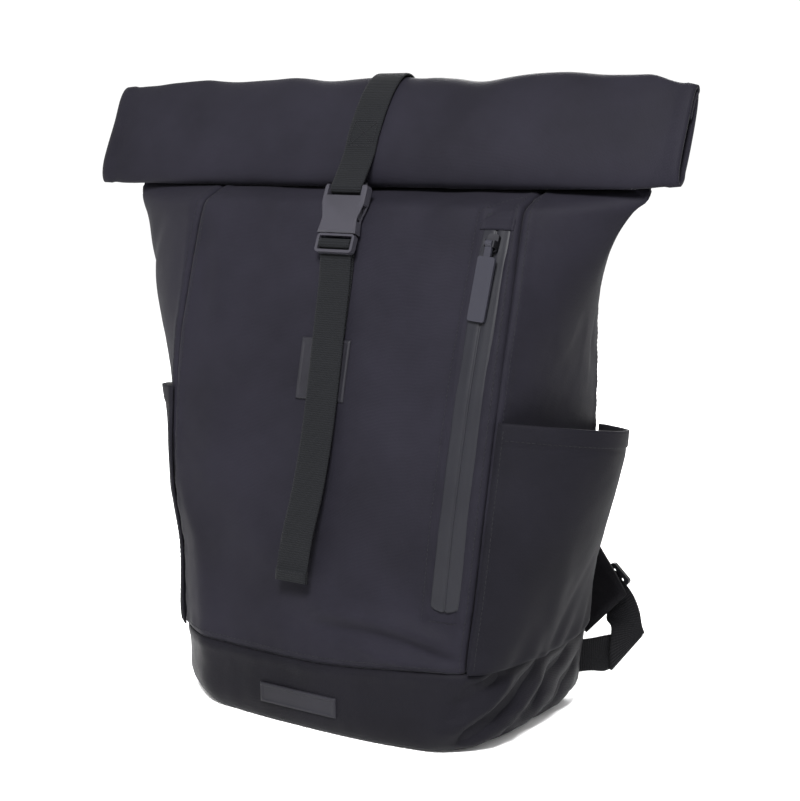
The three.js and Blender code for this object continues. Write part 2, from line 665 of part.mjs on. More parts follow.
// Socket: a hollow shell with a mouth below, side windows for the prongs and a strap bar above
function socketSolid() {
  const shape = new THREE.Shape();
  const wide = BUCKLE_WIDTH / 2;
  const narrow = 0.82 * wide;
  shape.moveTo(-0.9 * wide, 0);
  shape.lineTo(0.9 * wide, 0);
  shape.lineTo(narrow, 0.3 * SOCKET_LENGTH);
  shape.lineTo(wide, 0.62 * SOCKET_LENGTH);
  shape.lineTo(wide, 0.94 * SOCKET_LENGTH);
  shape.lineTo(0.94 * wide, SOCKET_LENGTH);
  shape.lineTo(-0.94 * wide, SOCKET_LENGTH);
  shape.lineTo(-wide, 0.94 * SOCKET_LENGTH);
  shape.lineTo(-wide, 0.62 * SOCKET_LENGTH);
  shape.lineTo(-narrow, 0.3 * SOCKET_LENGTH);
  shape.closePath();
  const depth = SOCKET_THICK - 2;
  const bevel = { depth, bevelEnabled: true, bevelThickness: 1, bevelSize: 1, bevelOffset: -1, bevelSegments: 1 };
  const shell = new THREE.ExtrudeGeometry(shape, bevel).translate(0, 0, -depth / 2);
  const hollow = box(2 * narrow - 2 * SOCKET_SHELL, 2 * PRONG_LENGTH + 4, SOCKET_THICK - 2 * SOCKET_SHELL);
  const windowLength = 0.34 * SOCKET_LENGTH;
  const window = box(BUCKLE_WIDTH + 4, windowLength, SOCKET_THICK - 2 * SOCKET_SHELL, 0, 0.42 * SOCKET_LENGTH);
  const slotLength = WEBBING_WALL + 2 * SLIP_GAP + 2;
  const slotWidth = WEBBING_WIDTH + 2;
  const slotY = SOCKET_LENGTH - BUCKLE_BAR - slotLength / 2;
  const slot = plate(slotWidth, slotLength, 2 * SOCKET_THICK, 1, 0, slotY);
  const thinning = [-1, 1].map((face) => box(slotWidth, BUCKLE_BAR + slotLength + 1, SOCKET_THICK, 0,
    SOCKET_LENGTH + (1 - BUCKLE_BAR - slotLength) / 2, (face * (BAR_FLATNESS * BUCKLE_BAR + SOCKET_THICK)) / 2));
  const cuts = [hollow, window, slot, ...thinning];
  return fromSolid(cuts.reduce((solid, cut) => solid.subtract(toSolid(cut)), toSolid(shell)));
}

addPiece('buckle_socket', socketSolid(), MATERIALS.plastic, buckle);

// Plug: a frame with a middle bar for the webbing, a centre tongue and two prongs in the socket
function plugSolid() {
  const frameY = -PLUG_FRAME_LENGTH / 2 - SLIP_GAP;
  const frame = plate(PLUG_FRAME_WIDTH, PLUG_FRAME_LENGTH, PLUG_THICK, 2.5, 0, frameY);
  const slotOffset = (PLUG_BAR + PLUG_SLOT) / 2;
  const slots = [-1, 1].map((side) => plate(WEBBING_WIDTH + 1, PLUG_SLOT, 2 * PLUG_THICK, 0.8, 0,
    PLUG_BAR_Y + side * slotOffset));
  const thinning = [-1, 1].map((face) => box(WEBBING_WIDTH + 1, PLUG_BAR + 2, PLUG_THICK, 0, PLUG_BAR_Y,
    (face * (BAR_FLATNESS * PLUG_BAR + PLUG_THICK)) / 2));
  const inside = SOCKET_THICK - 2 * SOCKET_SHELL - 2 * SLIP_GAP;
  const root = SLIP_GAP + 1;
  const rib = (width, length, x) => box(width, length + root, inside, x, (length - root) / 2);
  const tongue = rib(6, PRONG_LENGTH - 2, 0);
  const prongs = [-1, 1].map((side) => rib(3.4, PRONG_LENGTH, side * 9.2));
  const tips = [-1, 1].map((side) => plate(3.2, 8, inside, 1.2, side * 12, PRONG_LENGTH - 6));
  const links = [-1, 1].map((side) => box(4, 4, inside, side * 10.4, PRONG_LENGTH - 4.5));
  const joined = [tongue, ...prongs, ...links, ...tips].reduce((solid, add) => solid.add(toSolid(add)), toSolid(frame));
  return fromSolid([...slots, ...thinning].reduce((solid, cut) => solid.subtract(toSolid(cut)), joined));
}

addPiece('buckle_plug', plugSolid(), MATERIALS.plastic, buckle);

// Half turn of a band round a bar, as stops in the buckle's frame
function barTurn(barY, radius, from, to, steps = 7) {
  return Array.from({ length: steps + 1 }, (_, i) => {
    const angle = radians(lerp(from, to, i / steps));
    return { at: onBuckle(barY + radius * Math.sin(angle), radius * Math.cos(angle)) };
  });
}

// Upper closure strap: sewn on the back panel, over the roll, round the socket's bar and back on itself
const BAR_EASE = 0.1;
const WRAP = BUCKLE_BAR / 2 + SLIP_GAP + BAR_EASE + WEBBING_WALL / 2;
const SEWN_DROP = 2.08 * WEBBING_WIDTH;
const SEWN_SHARES = [1, 0.885, 0.77, 0.655, 0.54, 0.425, 0.345];
function upperStrapSolid() {
  const stops = [];
  const away = SEAM_GAP + WEBBING_WALL / 2;
  for (const share of SEWN_SHARES) {
    const z = NECK_HEIGHT - share * SEWN_DROP;
    stops.push({ at: [STRAP_X, backUnder(STRAP_X, z, WEBBING_WIDTH / 2) + away + 2 * LAYER_GAP, z] });
  }
  const rollShare = (STRAP_X - ROLL_SHIFT) / ROLL_HALF_LENGTH;
  for (let angle = 0; angle <= 210; angle += ROLL_STEP) {
    const [y, z] = rollPoint(rollShare, angle, -away - 1.5 * LAYER_GAP);
    stops.push({ at: [STRAP_X, y, z] });
  }
  const socketBar = SOCKET_LENGTH - BUCKLE_BAR / 2;
  stops.push(...barTurn(socketBar, WRAP, 30, -180));
  stops.push({ at: onBuckle(socketBar + 5, -WRAP + 0.6) });
  return bandSolid(stops, WEBBING_WIDTH, WEBBING_WALL);
}

addPiece('closure_strap_upper', upperStrapSolid(), MATERIALS.webbing);

// Lower closure strap: sewn down under the label, up behind the plug, round its bar and down as a free tail
function lowerStrapSolid() {
  const away = SEAM_GAP + WEBBING_WALL / 2;
  const pitch = WEBBING_WALL + LAYER_GAP;
  const wrap = PLUG_BAR / 2 + SLIP_GAP + WEBBING_WALL / 2;
  const behind = PLUG_THICK / 2 + SLIP_GAP + WEBBING_WALL / 2;
  const anchorZ = UPPER_LABEL_Z + UPPER_LABEL_HEIGHT / 2 + 2;
  const anchorTop = BUCKLE_Z - 2 * PLUG_FRAME_LENGTH;
  const panelStop = (z, off, x = STRAP_X) => ({ at: [x, frontUnder(x, z, WEBBING_WIDTH / 2) - off, z] });
  const stops = [0, 0.35, 0.7, 1].map((share) => panelStop(lerp(anchorZ, anchorTop, share), away));
  stops.push({ at: onBuckle(PLUG_BAR_Y - 6, -behind - pitch) });
  stops.push({ at: onBuckle(PLUG_BAR_Y - 2, -behind - 0.3 * pitch) });
  stops.push(...barTurn(PLUG_BAR_Y, wrap, 150, -60, 7));
  stops.push({ at: onBuckle(PLUG_BAR_Y - 3, -0.35 * behind) });
  stops.push({ at: onBuckle(PLUG_BAR_Y - 3.6, -behind) });
  stops.push({ at: onBuckle(PLUG_BAR_Y - 8.5, -behind) });
  const tailTop = anchorTop - 4;
  const tailBottom = tailTop - TAIL_LENGTH;
  for (const row of TAIL_ROWS) {
    const [share, sway, lift] = row;
    const z = lerp(tailTop, tailBottom + HEM_LENGTH, share);
    stops.push(panelStop(z, away + pitch + 0.2 + lift * TAIL_LIFT, STRAP_X + sway * TAIL_SWAY));
  }
  const last = stops[stops.length - 1].at;
  const hem = (drop) => ({ at: [last[0], last[1] - 0.1 * drop, last[2] - drop], wall: 2 * WEBBING_WALL });
  stops.push(hem(0.6), hem(HEM_LENGTH));
  return bandSolid(stops, WEBBING_WIDTH, WEBBING_WALL);
}

addPiece('closure_strap_lower', lowerStrapSolid(), MATERIALS.webbing);

// Bare label with a raised border, bent to follow the front face
function labelSolid(width, height, centreX, centreZ, level) {
  const across = [-0.5, -0.5 + LABEL_BORDER / width, -0.25, 0, 0.25, 0.5 - LABEL_BORDER / width, 0.5];
  const up = [-0.5, -0.5 + LABEL_BORDER / height, 0, 0.5 - LABEL_BORDER / height, 0.5];
  const edge = (i, list) => i < 1 || i > list.length - 2;
  const grid = (off, recess) => up.map((v, i) => across.map((u, j) => {
    const x = centreX + u * width;
    const z = centreZ + v * height;
    const drop = recess && !edge(i, up) && !edge(j, across) ? LABEL_RECESS : 0;
    return [x, level(x, z) - off + drop, z];
  }));
  return solidFromGrids(grid(LABEL_GAP + LABEL_WALL, true), grid(LABEL_GAP, false));
}

addPiece('front_label', labelSolid(UPPER_LABEL_WIDTH, UPPER_LABEL_HEIGHT, STRAP_X - 2, UPPER_LABEL_Z, frontSurface),
  MATERIALS.label);
addPiece('base_label', labelSolid(BASE_LABEL_WIDTH, BASE_LABEL_HEIGHT, 0, BASE_LABEL_Z, bootFront),
  MATERIALS.label);

// Zip: one sewn-on plate of laminated tape with a slot between its two strips
const zipX = (z) => FRONT_HALF_WIDTH - lerp(ZIP_BOTTOM_INSET, ZIP_TOP_INSET,
  (z - ZIP_BOTTOM_Z) / (ZIP_TOP_Z - ZIP_BOTTOM_Z));

function zipSolid() {
  const roundEnd = [0.62, 0.88];
  const slot = ZIP_SLOT_WIDTH / ZIP_STRIP_WIDTH;
  const straight = ZIP_BOTTOM_Z + 0.4 * ZIP_STRIP_WIDTH;
  const seam = bootSeam('front', 0.92) + SEAM_GAP;
  const between = PANEL_LEVELS.slice(1).map((level, i) => (level + PANEL_LEVELS[i]) / 2);
  const creases = [...PANEL_LEVELS, ...between].map((level) => lerp(seam, NECK_HEIGHT, level))
    .filter((z) => z > straight + 1 && z < ZIP_TOP_Z - 1)
    .sort((a, b) => a - b);
  const levels = [ZIP_BOTTOM_Z, ZIP_BOTTOM_Z + 0.14 * ZIP_STRIP_WIDTH, straight, ...creases, ZIP_TOP_Z];
  const grid = (thick) => levels.map((z, i) => {
    return [-1, -0.5, -slot, slot, 0.5, 1].map((u) => {
      const inside = Math.abs(u) === slot;
      const x = zipX(z) + (u * (roundEnd[i] ?? 1) * ZIP_STRIP_WIDTH) / 2;
      return [x, frontSurface(x, z) - TAPE_GAP - thick + (inside ? thick / 3 : 0), z];
    });
  });
  return solidFromGrids(grid(TAPE_WALL), grid(0));
}

const zipTape = addPiece('zip_tape', zipSolid(), MATERIALS.zipTape);
const tapeSurface = faceReader(zipTape, -1);

// The slider's own frame: x across the zip, y up it, z out of the pack
const slider = new THREE.Group();
const sliderX = zipX(SLIDER_Z);
const tapeAt = (z) => Math.min(...[-1, 1].map((k) => tapeSurface(zipX(z) + (k * SLIDER_WIDTH) / 2, z)));
const sliderSlope = (tapeAt(SLIDER_Z + SLIDER_LENGTH / 2) - tapeAt(SLIDER_Z - SLIDER_LENGTH / 2)) / SLIDER_LENGTH;
slider.position.set(sliderX, tapeAt(SLIDER_Z) - SEAM_GAP, SLIDER_Z);
slider.rotation.set(Math.PI / 2 - Math.atan(sliderSlope), 0, 0);
pack.add(slider);
const tilted = new THREE.Group();
tilted.rotation.z = radians(-PULLER_TILT);
slider.add(tilted);

// Slider: a small body with a bridge that carries the puller's pin
function sliderSolid() {
  const body = plate(SLIDER_WIDTH, SLIDER_LENGTH, SLIDER_THICK, 2, 0, 0, SLIDER_THICK / 2);
  const cheekHeight = HINGE_LIFT + HINGE_RADIUS + CHEEK_WALL / 2;
  const cheekX = (SLIDER_WIDTH - CHEEK_WALL) / 2;
  const cheeks = [-1, 1].map((side) => box(CHEEK_WALL, 4.6, cheekHeight, side * cheekX, HINGE_Y, cheekHeight / 2));
  const pin = new THREE.CylinderGeometry(HINGE_RADIUS, HINGE_RADIUS, SLIDER_WIDTH - CHEEK_WALL, 10)
    .rotateZ(Math.PI / 2).translate(0, HINGE_Y, HINGE_LIFT);
  return fromSolid([...cheeks, pin].reduce((solid, add) => solid.add(toSolid(add)), toSolid(body)));
}

addPiece('zip_slider', sliderSolid(), MATERIALS.plastic, tilted);

// Puller: an eye round the slider's pin and a long flat grip that lies on the tape
function pullerSolid() {
  const bore = HINGE_RADIUS + SLIP_GAP;
  const eyeWidth = SLIDER_WIDTH - 2 * CHEEK_WALL - 2 * SLIP_GAP;
  const eye = new THREE.CylinderGeometry(bore + EYE_WALL, bore + EYE_WALL, eyeWidth, 14).rotateZ(Math.PI / 2);
  const hole = new THREE.CylinderGeometry(bore, bore, 2 * SLIDER_WIDTH, 12).rotateZ(Math.PI / 2);
  const neckLength = SLIDER_LENGTH / 2 + 2.5;
  const neck = box(eyeWidth, neckLength, PULLER_THICK, 0, -bore - neckLength / 2);
  const gripLength = PULLER_LENGTH - neckLength;
  const grip = plate(PULLER_WIDTH, gripLength, PULLER_THICK, 1.6, 0, -PULLER_LENGTH + gripLength / 2);
  const joined = [neck, grip].reduce((solid, add) => solid.add(toSolid(add)), toSolid(eye));
  return fromSolid(joined.subtract(toSolid(hole)));
}

const puller = addPiece('zip_puller', pullerSolid(), MATERIALS.puller, tilted);
puller.position.set(0, HINGE_Y, HINGE_LIFT);
slider.updateMatrixWorld(true);
const tapeUnderTip = Math.max(...[-1, 1].map((k) => {
  const corner = tilted.localToWorld(new THREE.Vector3((k * PULLER_WIDTH) / 2, HINGE_Y - PULLER_LENGTH, 0));
  return slider.worldToLocal(corner.setY(tapeSurface(corner.x, corner.z))).z;
}));
const gripFall = HINGE_LIFT - PULLER_THICK / 2 - SLIP_GAP - tapeUnderTip;
puller.rotation.x = Math.asin(gripFall / PULLER_LENGTH);

// Shoulder straps: padded bands hung behind the back, each with its end adjuster and webbing.
// side is 1 for the right-hand strap and -1 for the left-hand one.
const readPad = tableReader(PAD_COLUMNS, PAD_ROWS);
const SIDES = [['right', 1], ['left', -1]];

function padCentre(share, side) {
  const row = readPad(share);
  const x = side * (PAD_TOP_X + row.out * PAD_RUN_OUT);
  const z = PAD_TOP_Z - row.down * PAD_RUN_DOWN;
  const edge = BACK_HALF_WIDTH - 2 * BODY_WALL;
  const middle = Math.min(Math.max(x, -edge + PAD_WIDTH / 2), edge - PAD_WIDTH / 2);
  const rest = backUnder(middle, Math.max(z, BOOT_HEIGHT + BOOT_CORNER_RISE + 1), (row.width * PAD_WIDTH) / 2);
  const seat = lerp(rest + PAD_SEAT, BACK_REACH, row.behind);
  return new THREE.Vector3(x, seat + LAYER_GAP + (row.thick * PAD_THICK) / 2 + row.behind * PAD_STAND_OFF, z);
}

// Direction of the pad's centre line, and the directions across it and out of its face
function padAxes(share, side) {
  const along = padCentre(Math.min(share + 0.02, 1), side).sub(padCentre(Math.max(share - 0.02, 0), side)).normalize();
  const across = along.clone().cross(new THREE.Vector3(0, 1, 0)).normalize();
  return { along, across, normal: across.clone().cross(along).normalize() };
}

function padSolid(side) {
  const count = 16;
  const profile = [[-1, 0.35], [-0.8, 1], [0, 1], [0.8, 1], [1, 0.35]];
  const outer = [];
  const inner = [];
  for (let i = 0; i <= count; i += 1) {
    const share = i / count;
    const row = readPad(share);
    const { across, normal } = padAxes(share, side);
    const middle = padCentre(share, side);
    const place = (sign) => profile.map(([u, v]) => middle.clone()
      .addScaledVector(across, (u * row.width * PAD_WIDTH) / 2)
      .addScaledVector(normal, (sign * v * row.thick * PAD_THICK) / 2).toArray());
    outer.push(place(1));
    inner.push(place(-1));
  }
  return solidFromGrids(outer, inner);
}

// Adjuster behind each pad's tip. Its own frame has x across the webbing, y up the strap and z away
// from the pad, with two slots either side of a thin bar.
function lockSolid() {
  const frame = plate(LOCK_WIDTH, LOCK_LENGTH, LOCK_THICK, 2.5);
  const offset = (LOCK_BAR + LOCK_SLOT) / 2;
  const slots = [-1, 1].map((end) => plate(WEBBING_WIDTH + 1.4, LOCK_SLOT, 2 * LOCK_THICK, 1, 0, end * offset));
  const thinning = [-1, 1].map((face) => box(WEBBING_WIDTH + 1.4, LOCK_BAR + 2, LOCK_THICK, 0, 0,
    (face * (BAR_FLATNESS * LOCK_BAR + LOCK_THICK)) / 2));
  return fromSolid([...slots, ...thinning].reduce((solid, cut) => solid.subtract(toSolid(cut)), toSolid(frame)));
}

function lockFrame(side) {
  const share = 1 - LOCK_INSET / (PAD_RUN_DOWN + PAD_RUN_OUT);
  const { along } = padAxes(1, side);
  const flat = new THREE.Vector3(along.x, 0, along.z).normalize();
  const up = flat.clone().negate();
  const out = new THREE.Vector3(0, 1, 0);
  const across = up.clone().cross(out).normalize();
  const centre = padCentre(share, side).addScaledVector(up, LOCK_INSET);
  centre.addScaledVector(across, LOCK_OFFSET * Math.sign(across.x * side));
  centre.y = BACK_REACH + PAD_STAND_OFF + PAD_THICK + 3 * LAYER_GAP + WEBBING_WALL + LOCK_THICK / 2;
  const group = new THREE.Group();
  group.position.copy(centre);
  group.quaternion.setFromRotationMatrix(new THREE.Matrix4().makeBasis(across, up, out));
  pack.add(group);
  group.updateMatrixWorld(true);
  return group;
}

// Webbing: a free end on the pad, the weave round the adjuster's bar, down to a fold across itself and
// back to the rear wall of the boot
function webbingSolid(side, lock) {
  const toWorld = (y, z, x = 0) => lock.localToWorld(new THREE.Vector3(x, y, z));
  const acrossLock = toWorld(0, 0, 1).sub(toWorld(0, 0, 0));
  const under = -(LOCK_THICK / 2 + LAYER_GAP + WEBBING_WALL / 2);
  const wrap = LOCK_BAR / 2 + SLIP_GAP + BAR_EASE + WEBBING_WALL / 2;
  const half = LOCK_LENGTH / 2;
  const stops = [];
  const slotEnd = LOCK_BAR / 2 + LOCK_SLOT;
  const weave = [[half + ADJUSTER_TAIL, under], [half + ADJUSTER_TAIL / 2, under], [half + 2, under],
    [slotEnd, under], [wrap + 0.5, 0.4 * under]];
  for (const angle of [0, 30, 60, 90, 120, 150, 180]) {
    weave.push([wrap * Math.cos(radians(angle)), wrap * Math.sin(radians(angle))]);
  }
  weave.push([-wrap - 0.5, 0.4 * under], [-slotEnd, under], [-half - 3, under]);
  weave.forEach(([y, z]) => stops.push({ at: toWorld(y, z).toArray(), across: acrossLock.toArray() }));

  const wallUnder = [-1, 0, 1].map((k) => bootBack(side * SEWN_X, FOLD_HEIGHT + (k * WEBBING_WIDTH) / 2));
  const sewnY = Math.max(...wallUnder) + SEAM_GAP + WEBBING_WALL / 2;
  const sewn = new THREE.Vector3(side * SEWN_X, sewnY, FOLD_HEIGHT);
  const last = toWorld(-half - 3, under);
  const fold = new THREE.Vector3(sewn.x + side * FOLD_OUT, sewn.y + FOLD_BACK, FOLD_HEIGHT);
  const run = fold.clone().sub(sewn).setZ(0).normalize();
  const face = run.clone().cross(new THREE.Vector3(0, 0, 1)).normalize().multiplyScalar(side);
  const turn = acrossLock.dot(run) < 0 ? -1 : 1;
  const legAcross = run.clone().multiplyScalar(turn);
  const legTop = fold.clone().setZ(FOLD_HEIGHT + WEBBING_WIDTH * 0.75);
  const mixed = acrossLock.clone().lerp(legAcross, 0.5).normalize();
  stops.push({ at: last.clone().lerp(legTop, 0.5).toArray(), across: mixed.toArray() });
  stops.push({ at: legTop.toArray(), across: legAcross.toArray() });

  // Crease of the fold: upwards and outwards, at 45 degrees to both legs
  const crease = run.clone().add(new THREE.Vector3(0, 0, 1)).normalize().multiplyScalar(turn);
  const outward = run.clone().sub(new THREE.Vector3(0, 0, 1)).normalize();
  const radius = (WEBBING_WALL + LAYER_GAP) / 2;
  for (const angle of [-60, -20, 20, 60]) {
    const at = fold.clone().addScaledVector(face, -radius * Math.sin(radians(angle)))
      .addScaledVector(outward, radius * Math.cos(radians(angle)));
    stops.push({ at: at.toArray(), across: crease.toArray(), stretch: Math.SQRT2 });
  }
  for (const share of [0.45, 0.75, 1]) {
    const at = fold.clone().lerp(sewn, share).addScaledVector(face, -radius * (1 - share));
    stops.push({ at: at.toArray(), across: [0, 0, turn] });
  }
  return bandSolid(stops, WEBBING_WIDTH, WEBBING_WALL);
}

for (const [name, side] of SIDES) {
  addPiece(`shoulder_strap_${name}`, padSolid(side), MATERIALS.padding);
  const lock = lockFrame(side);
  addPiece(`ladder_lock_${name}`, lockSolid(), MATERIALS.plastic, lock);
  addPiece(`strap_webbing_${name}`, webbingSolid(side, lock), MATERIALS.webbing);
}

export default pack;
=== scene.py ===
import math

import bpy
import numpy as np
from mathutils import Matrix, Vector, noise
from mathutils.bvhtree import BVHTree


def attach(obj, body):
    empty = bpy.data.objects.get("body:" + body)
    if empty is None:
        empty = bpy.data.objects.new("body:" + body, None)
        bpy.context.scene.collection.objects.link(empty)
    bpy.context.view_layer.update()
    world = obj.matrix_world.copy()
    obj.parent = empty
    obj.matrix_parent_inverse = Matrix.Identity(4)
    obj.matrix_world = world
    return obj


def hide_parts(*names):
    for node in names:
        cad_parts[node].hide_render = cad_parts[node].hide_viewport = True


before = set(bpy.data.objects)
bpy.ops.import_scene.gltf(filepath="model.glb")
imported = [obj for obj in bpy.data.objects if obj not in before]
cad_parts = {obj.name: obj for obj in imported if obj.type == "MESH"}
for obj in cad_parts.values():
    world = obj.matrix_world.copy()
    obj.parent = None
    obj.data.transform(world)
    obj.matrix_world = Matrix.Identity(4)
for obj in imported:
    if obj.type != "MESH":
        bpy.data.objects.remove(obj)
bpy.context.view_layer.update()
MM = 0.001
PACK = "pack"

# Camera of the photograph, in millimetres, degrees and pixels
CAMERA_AT = (616.8, -922.7, 385.1)
CAMERA_TURN = 32.87
CAMERA_PITCH = 8.8
CAMERA_ROLL = 0.64
FOCAL_PIXELS = 1598.6
IMAGE_HEIGHT = 801
SENSOR = 36.0

# Sizes shared with the solids
BODY_WALL = 2.0
POCKET_WALL = 1.5
ROLL_WALL = 2.4
WEBBING_WALL = 1.6
LABEL_WALL = 1.2
LABEL_GAP = 0.45
TAPE_WALL = 1.0
TAPE_GAP = 0.6
SEAM_GAP = 0.3
LAYER_GAP = 0.35
SLIP_GAP = 0.4
NECK_HEIGHT = 364.0
FRONT_HALF_WIDTH = 132.0
BACK_HALF_WIDTH = 137.0
FRONT_REACH = 80.0
BACK_REACH = 72.0
FRONT_BOW = 14.0
BACK_BOW = 3.0
NECK_FLARE = 68.0
NECK_YAW = 10.0
NECK_SHIFT = -2.0
NECK_HALF_GAP = 1.2
BOOT_HEIGHT = 48.0
BOOT_CORNER_RISE = 9.0
BOOT_ROUND = 22.0
BOOT_SIDE_TUCK = 20.0
BOOT_FRONT_TUCK = 6.0
ROLL_HALF_LENGTH = 227.0
ROLL_HALF_HEIGHT = 43.5
ROLL_HALF_THICK = 17.0
ROLL_SHIFT = -4.0
ROLL_RISE = 34.5
ROLL_LEAN = 30.0
ROLL_START = -45.0
ROLL_END = 520.0
ROLL_POWER = 2.3
POCKET_HEIGHT = 219.0
POCKET_BACK_DROP = 18.0
POCKET_BULGE = {"right": 44.0, "left": 10.0}
POCKET_GAP = 0.8
WEBBING_WIDTH = 25.0
HEM_LENGTH = 8.0
TAIL_LENGTH = 198.0
TAIL_LIFT = 8.0
TAIL_SWAY = 4.0
STRAP_X = 2.5
UPPER_LABEL = (39.0, 41.0, 0.5, 242.0)
BASE_LABEL = (63.0, 14.0, 0.0, 20.5)
ZIP_TOP_Z = 348.0
ZIP_BOTTOM_Z = 97.0
ZIP_TOP_INSET = 16.0
ZIP_BOTTOM_INSET = 24.0
ZIP_STRIP_WIDTH = 22.0
SLIDER_Z = 329.0
BUCKLE_BAR = 3.6
SOCKET_LENGTH = 34.0
BUCKLE_LEAN = 22.0
BUCKLE_Z = 331.5
BUCKLE_STAND = 7.0
PLUG_FRAME_LENGTH = 13.0
PLUG_THICK = 4.4
PLUG_BAR = 2.8
PLUG_BAR_Y = -SLIP_GAP - PLUG_FRAME_LENGTH / 2 + 0.2
PAD_WIDTH = 62.0
PAD_THICK = 10.0
PAD_TOP_X = 58.0
PAD_TOP_Z = 318.0
PAD_RUN_OUT = 73.0
PAD_STAND_OFF = 35.0
PAD_SEAT = 0.3
PAD_RUN_DOWN = 264.0
LOCK_LENGTH = 19.0
LOCK_THICK = 3.4
LOCK_BAR = 3.0
LOCK_SLOT = 4.2
LOCK_INSET = 9.0
LOCK_OFFSET = 11.0
ADJUSTER_TAIL = 62.0
FOLD_OUT = 36.0
FOLD_BACK = 45.0
FOLD_HEIGHT = 26.0
SEWN_X = 108.0

# Where cloth swells beside a seam, how wide the swelling is, and how wide the groove on the seam is
SWELL_AT = 5.0
SWELL_WIDTH = 3.2
GROOVE_WIDTH = 1.6

# Uneven cloth: height, size, octaves and seed of each layer of noise
PANEL_RUMPLE = ((1.5, 95, 2, 0.0), (0.45, 32, 3, 4.0))
BOOT_RUMPLE = ((1.0, 60, 2, 6.0), (0.5, 22, 3, 7.0))
POCKET_RUMPLE = ((1.1, 60, 2, 11.0), (0.35, 24, 2, 12.0))
ROLL_RUMPLE = ((1.0, 80, 2, 21.0), (0.35, 30, 2, 22.0))

SIDES = {"right": 1, "left": -1}

# Sections of the body, bottom to top, as shares of the named sizes
SECTION_COLUMNS = ("up", "front_half", "front", "bow", "front_power", "back_half", "back",
                   "flare_right", "flare_left", "fold", "round_left", "round_right", "yaw")
SECTION_ROWS = (
    (0.000, 0.94, 0.955, 1.00, 2.6, 0.95, 0.97, 0.12, 0.12, 2.5, 0.46, 0.20, 0.0),
    (0.060, 0.94, 0.965, 1.00, 2.6, 0.95, 0.97, 0.12, 0.12, 2.5, 0.46, 0.20, 0.0),
    (0.170, 0.955, 1.000, 0.80, 2.8, 0.97, 1.00, 0.14, 0.14, 2.5, 0.45, 0.12, 0.0),
    (0.291, 0.97, 0.937, 0.72, 3.0, 0.98, 1.00, 0.10, 0.12, 2.5, 0.36, 0.05, 0.0),
    (0.420, 0.985, 0.880, 0.65, 3.0, 0.99, 1.00, 0.08, 0.16, 2.5, 0.14, 0.02, 0.0),
    (0.550, 0.995, 0.790, 0.60, 3.0, 1.00, 1.00, 0.09, 0.36, 2.5, 0.04, 0.02, 0.0),
    (0.665, 1.000, 0.710, 0.50, 3.0, 1.00, 0.97, 0.16, 0.64, 2.4, 0.01, 0.01, 0.1),
    (0.797, 1.000, 0.600, 0.36, 3.0, 1.00, 0.86, 0.34, 0.92, 2.0, 0.01, 0.01, 0.4),
    (0.893, 0.995, 0.525, 0.21, 3.0, 0.99, 0.63, 0.57, 0.99, 1.5, 0.01, 0.01, 0.8),
    (0.962, 0.992, 0.450, 0.07, 3.0, 0.99, 0.33, 0.86, 1.00, 1.12, 0.01, 0.01, 1.0),
    (0.981, 0.992, 0.300, 0.00, 3.0, 0.99, 0.18, 1.00, 1.00, 1.05, 0.01, 0.01, 1.0),
)
ROLL_COLUMNS = ("along", "forward", "rise", "height", "thick", "lean")
ROLL_ROWS = (
    (-1.00, -0.90, 0.90, 0.91, 0.50, 0.75),
    (-0.88, -0.80, 0.94, 0.95, 0.62, 0.80),
    (-0.50, -0.40, 1.00, 1.00, 0.88, 0.95),
    (0.00, -0.10, 1.00, 1.00, 1.00, 1.00),
    (0.30, 0.20, 0.99, 0.97, 0.98, 1.00),
    (0.55, 0.60, 1.02, 0.97, 0.88, 0.92),
    (0.85, 1.00, 1.03, 0.93, 0.62, 0.80),
    (0.93, 1.10, 0.97, 0.84, 0.52, 0.75),
    (1.00, 1.20, 0.94, 0.78, 0.48, 0.72),
)
# Free tail of the closure strap: down, sway and lift as shares
TAIL_ROWS = (
    (0.00, 0.0, 0.00), (0.14, 0.2, 0.03), (0.28, 0.4, 0.06), (0.42, 0.5, 0.10),
    (0.58, 0.5, 0.26), (0.74, 0.1, 0.52), (0.88, -0.6, 0.84), (1.00, -1.0, 1.00),
)
PAD_COLUMNS = ("along", "out", "behind", "down", "width", "thick")
PAD_ROWS = (
    (0.00, 0.00, 0.00, 0.00, 0.84, 0.70),
    (0.10, 0.00, 0.03, 0.09, 0.92, 0.90),
    (0.25, 0.00, 0.42, 0.24, 1.00, 1.00),
    (0.40, 0.03, 0.82, 0.41, 1.00, 1.00),
    (0.55, 0.12, 1.00, 0.57, 1.00, 1.00),
    (0.70, 0.27, 1.00, 0.73, 1.00, 1.00),
    (0.82, 0.52, 1.00, 0.86, 0.94, 1.00),
    (0.92, 0.79, 1.00, 0.945, 0.86, 0.90),
    (1.00, 1.00, 1.00, 1.00, 0.74, 0.60),
)


def lerp(a, b, t):
    return a + (b - a) * t


def smooth(value):
    t = np.clip(value, 0.0, 1.0)
    return t * t * (3 - 2 * t)


def bump(value):
    """1 at 0, falling smoothly to nothing about two widths away."""
    return np.exp(-np.square(value))


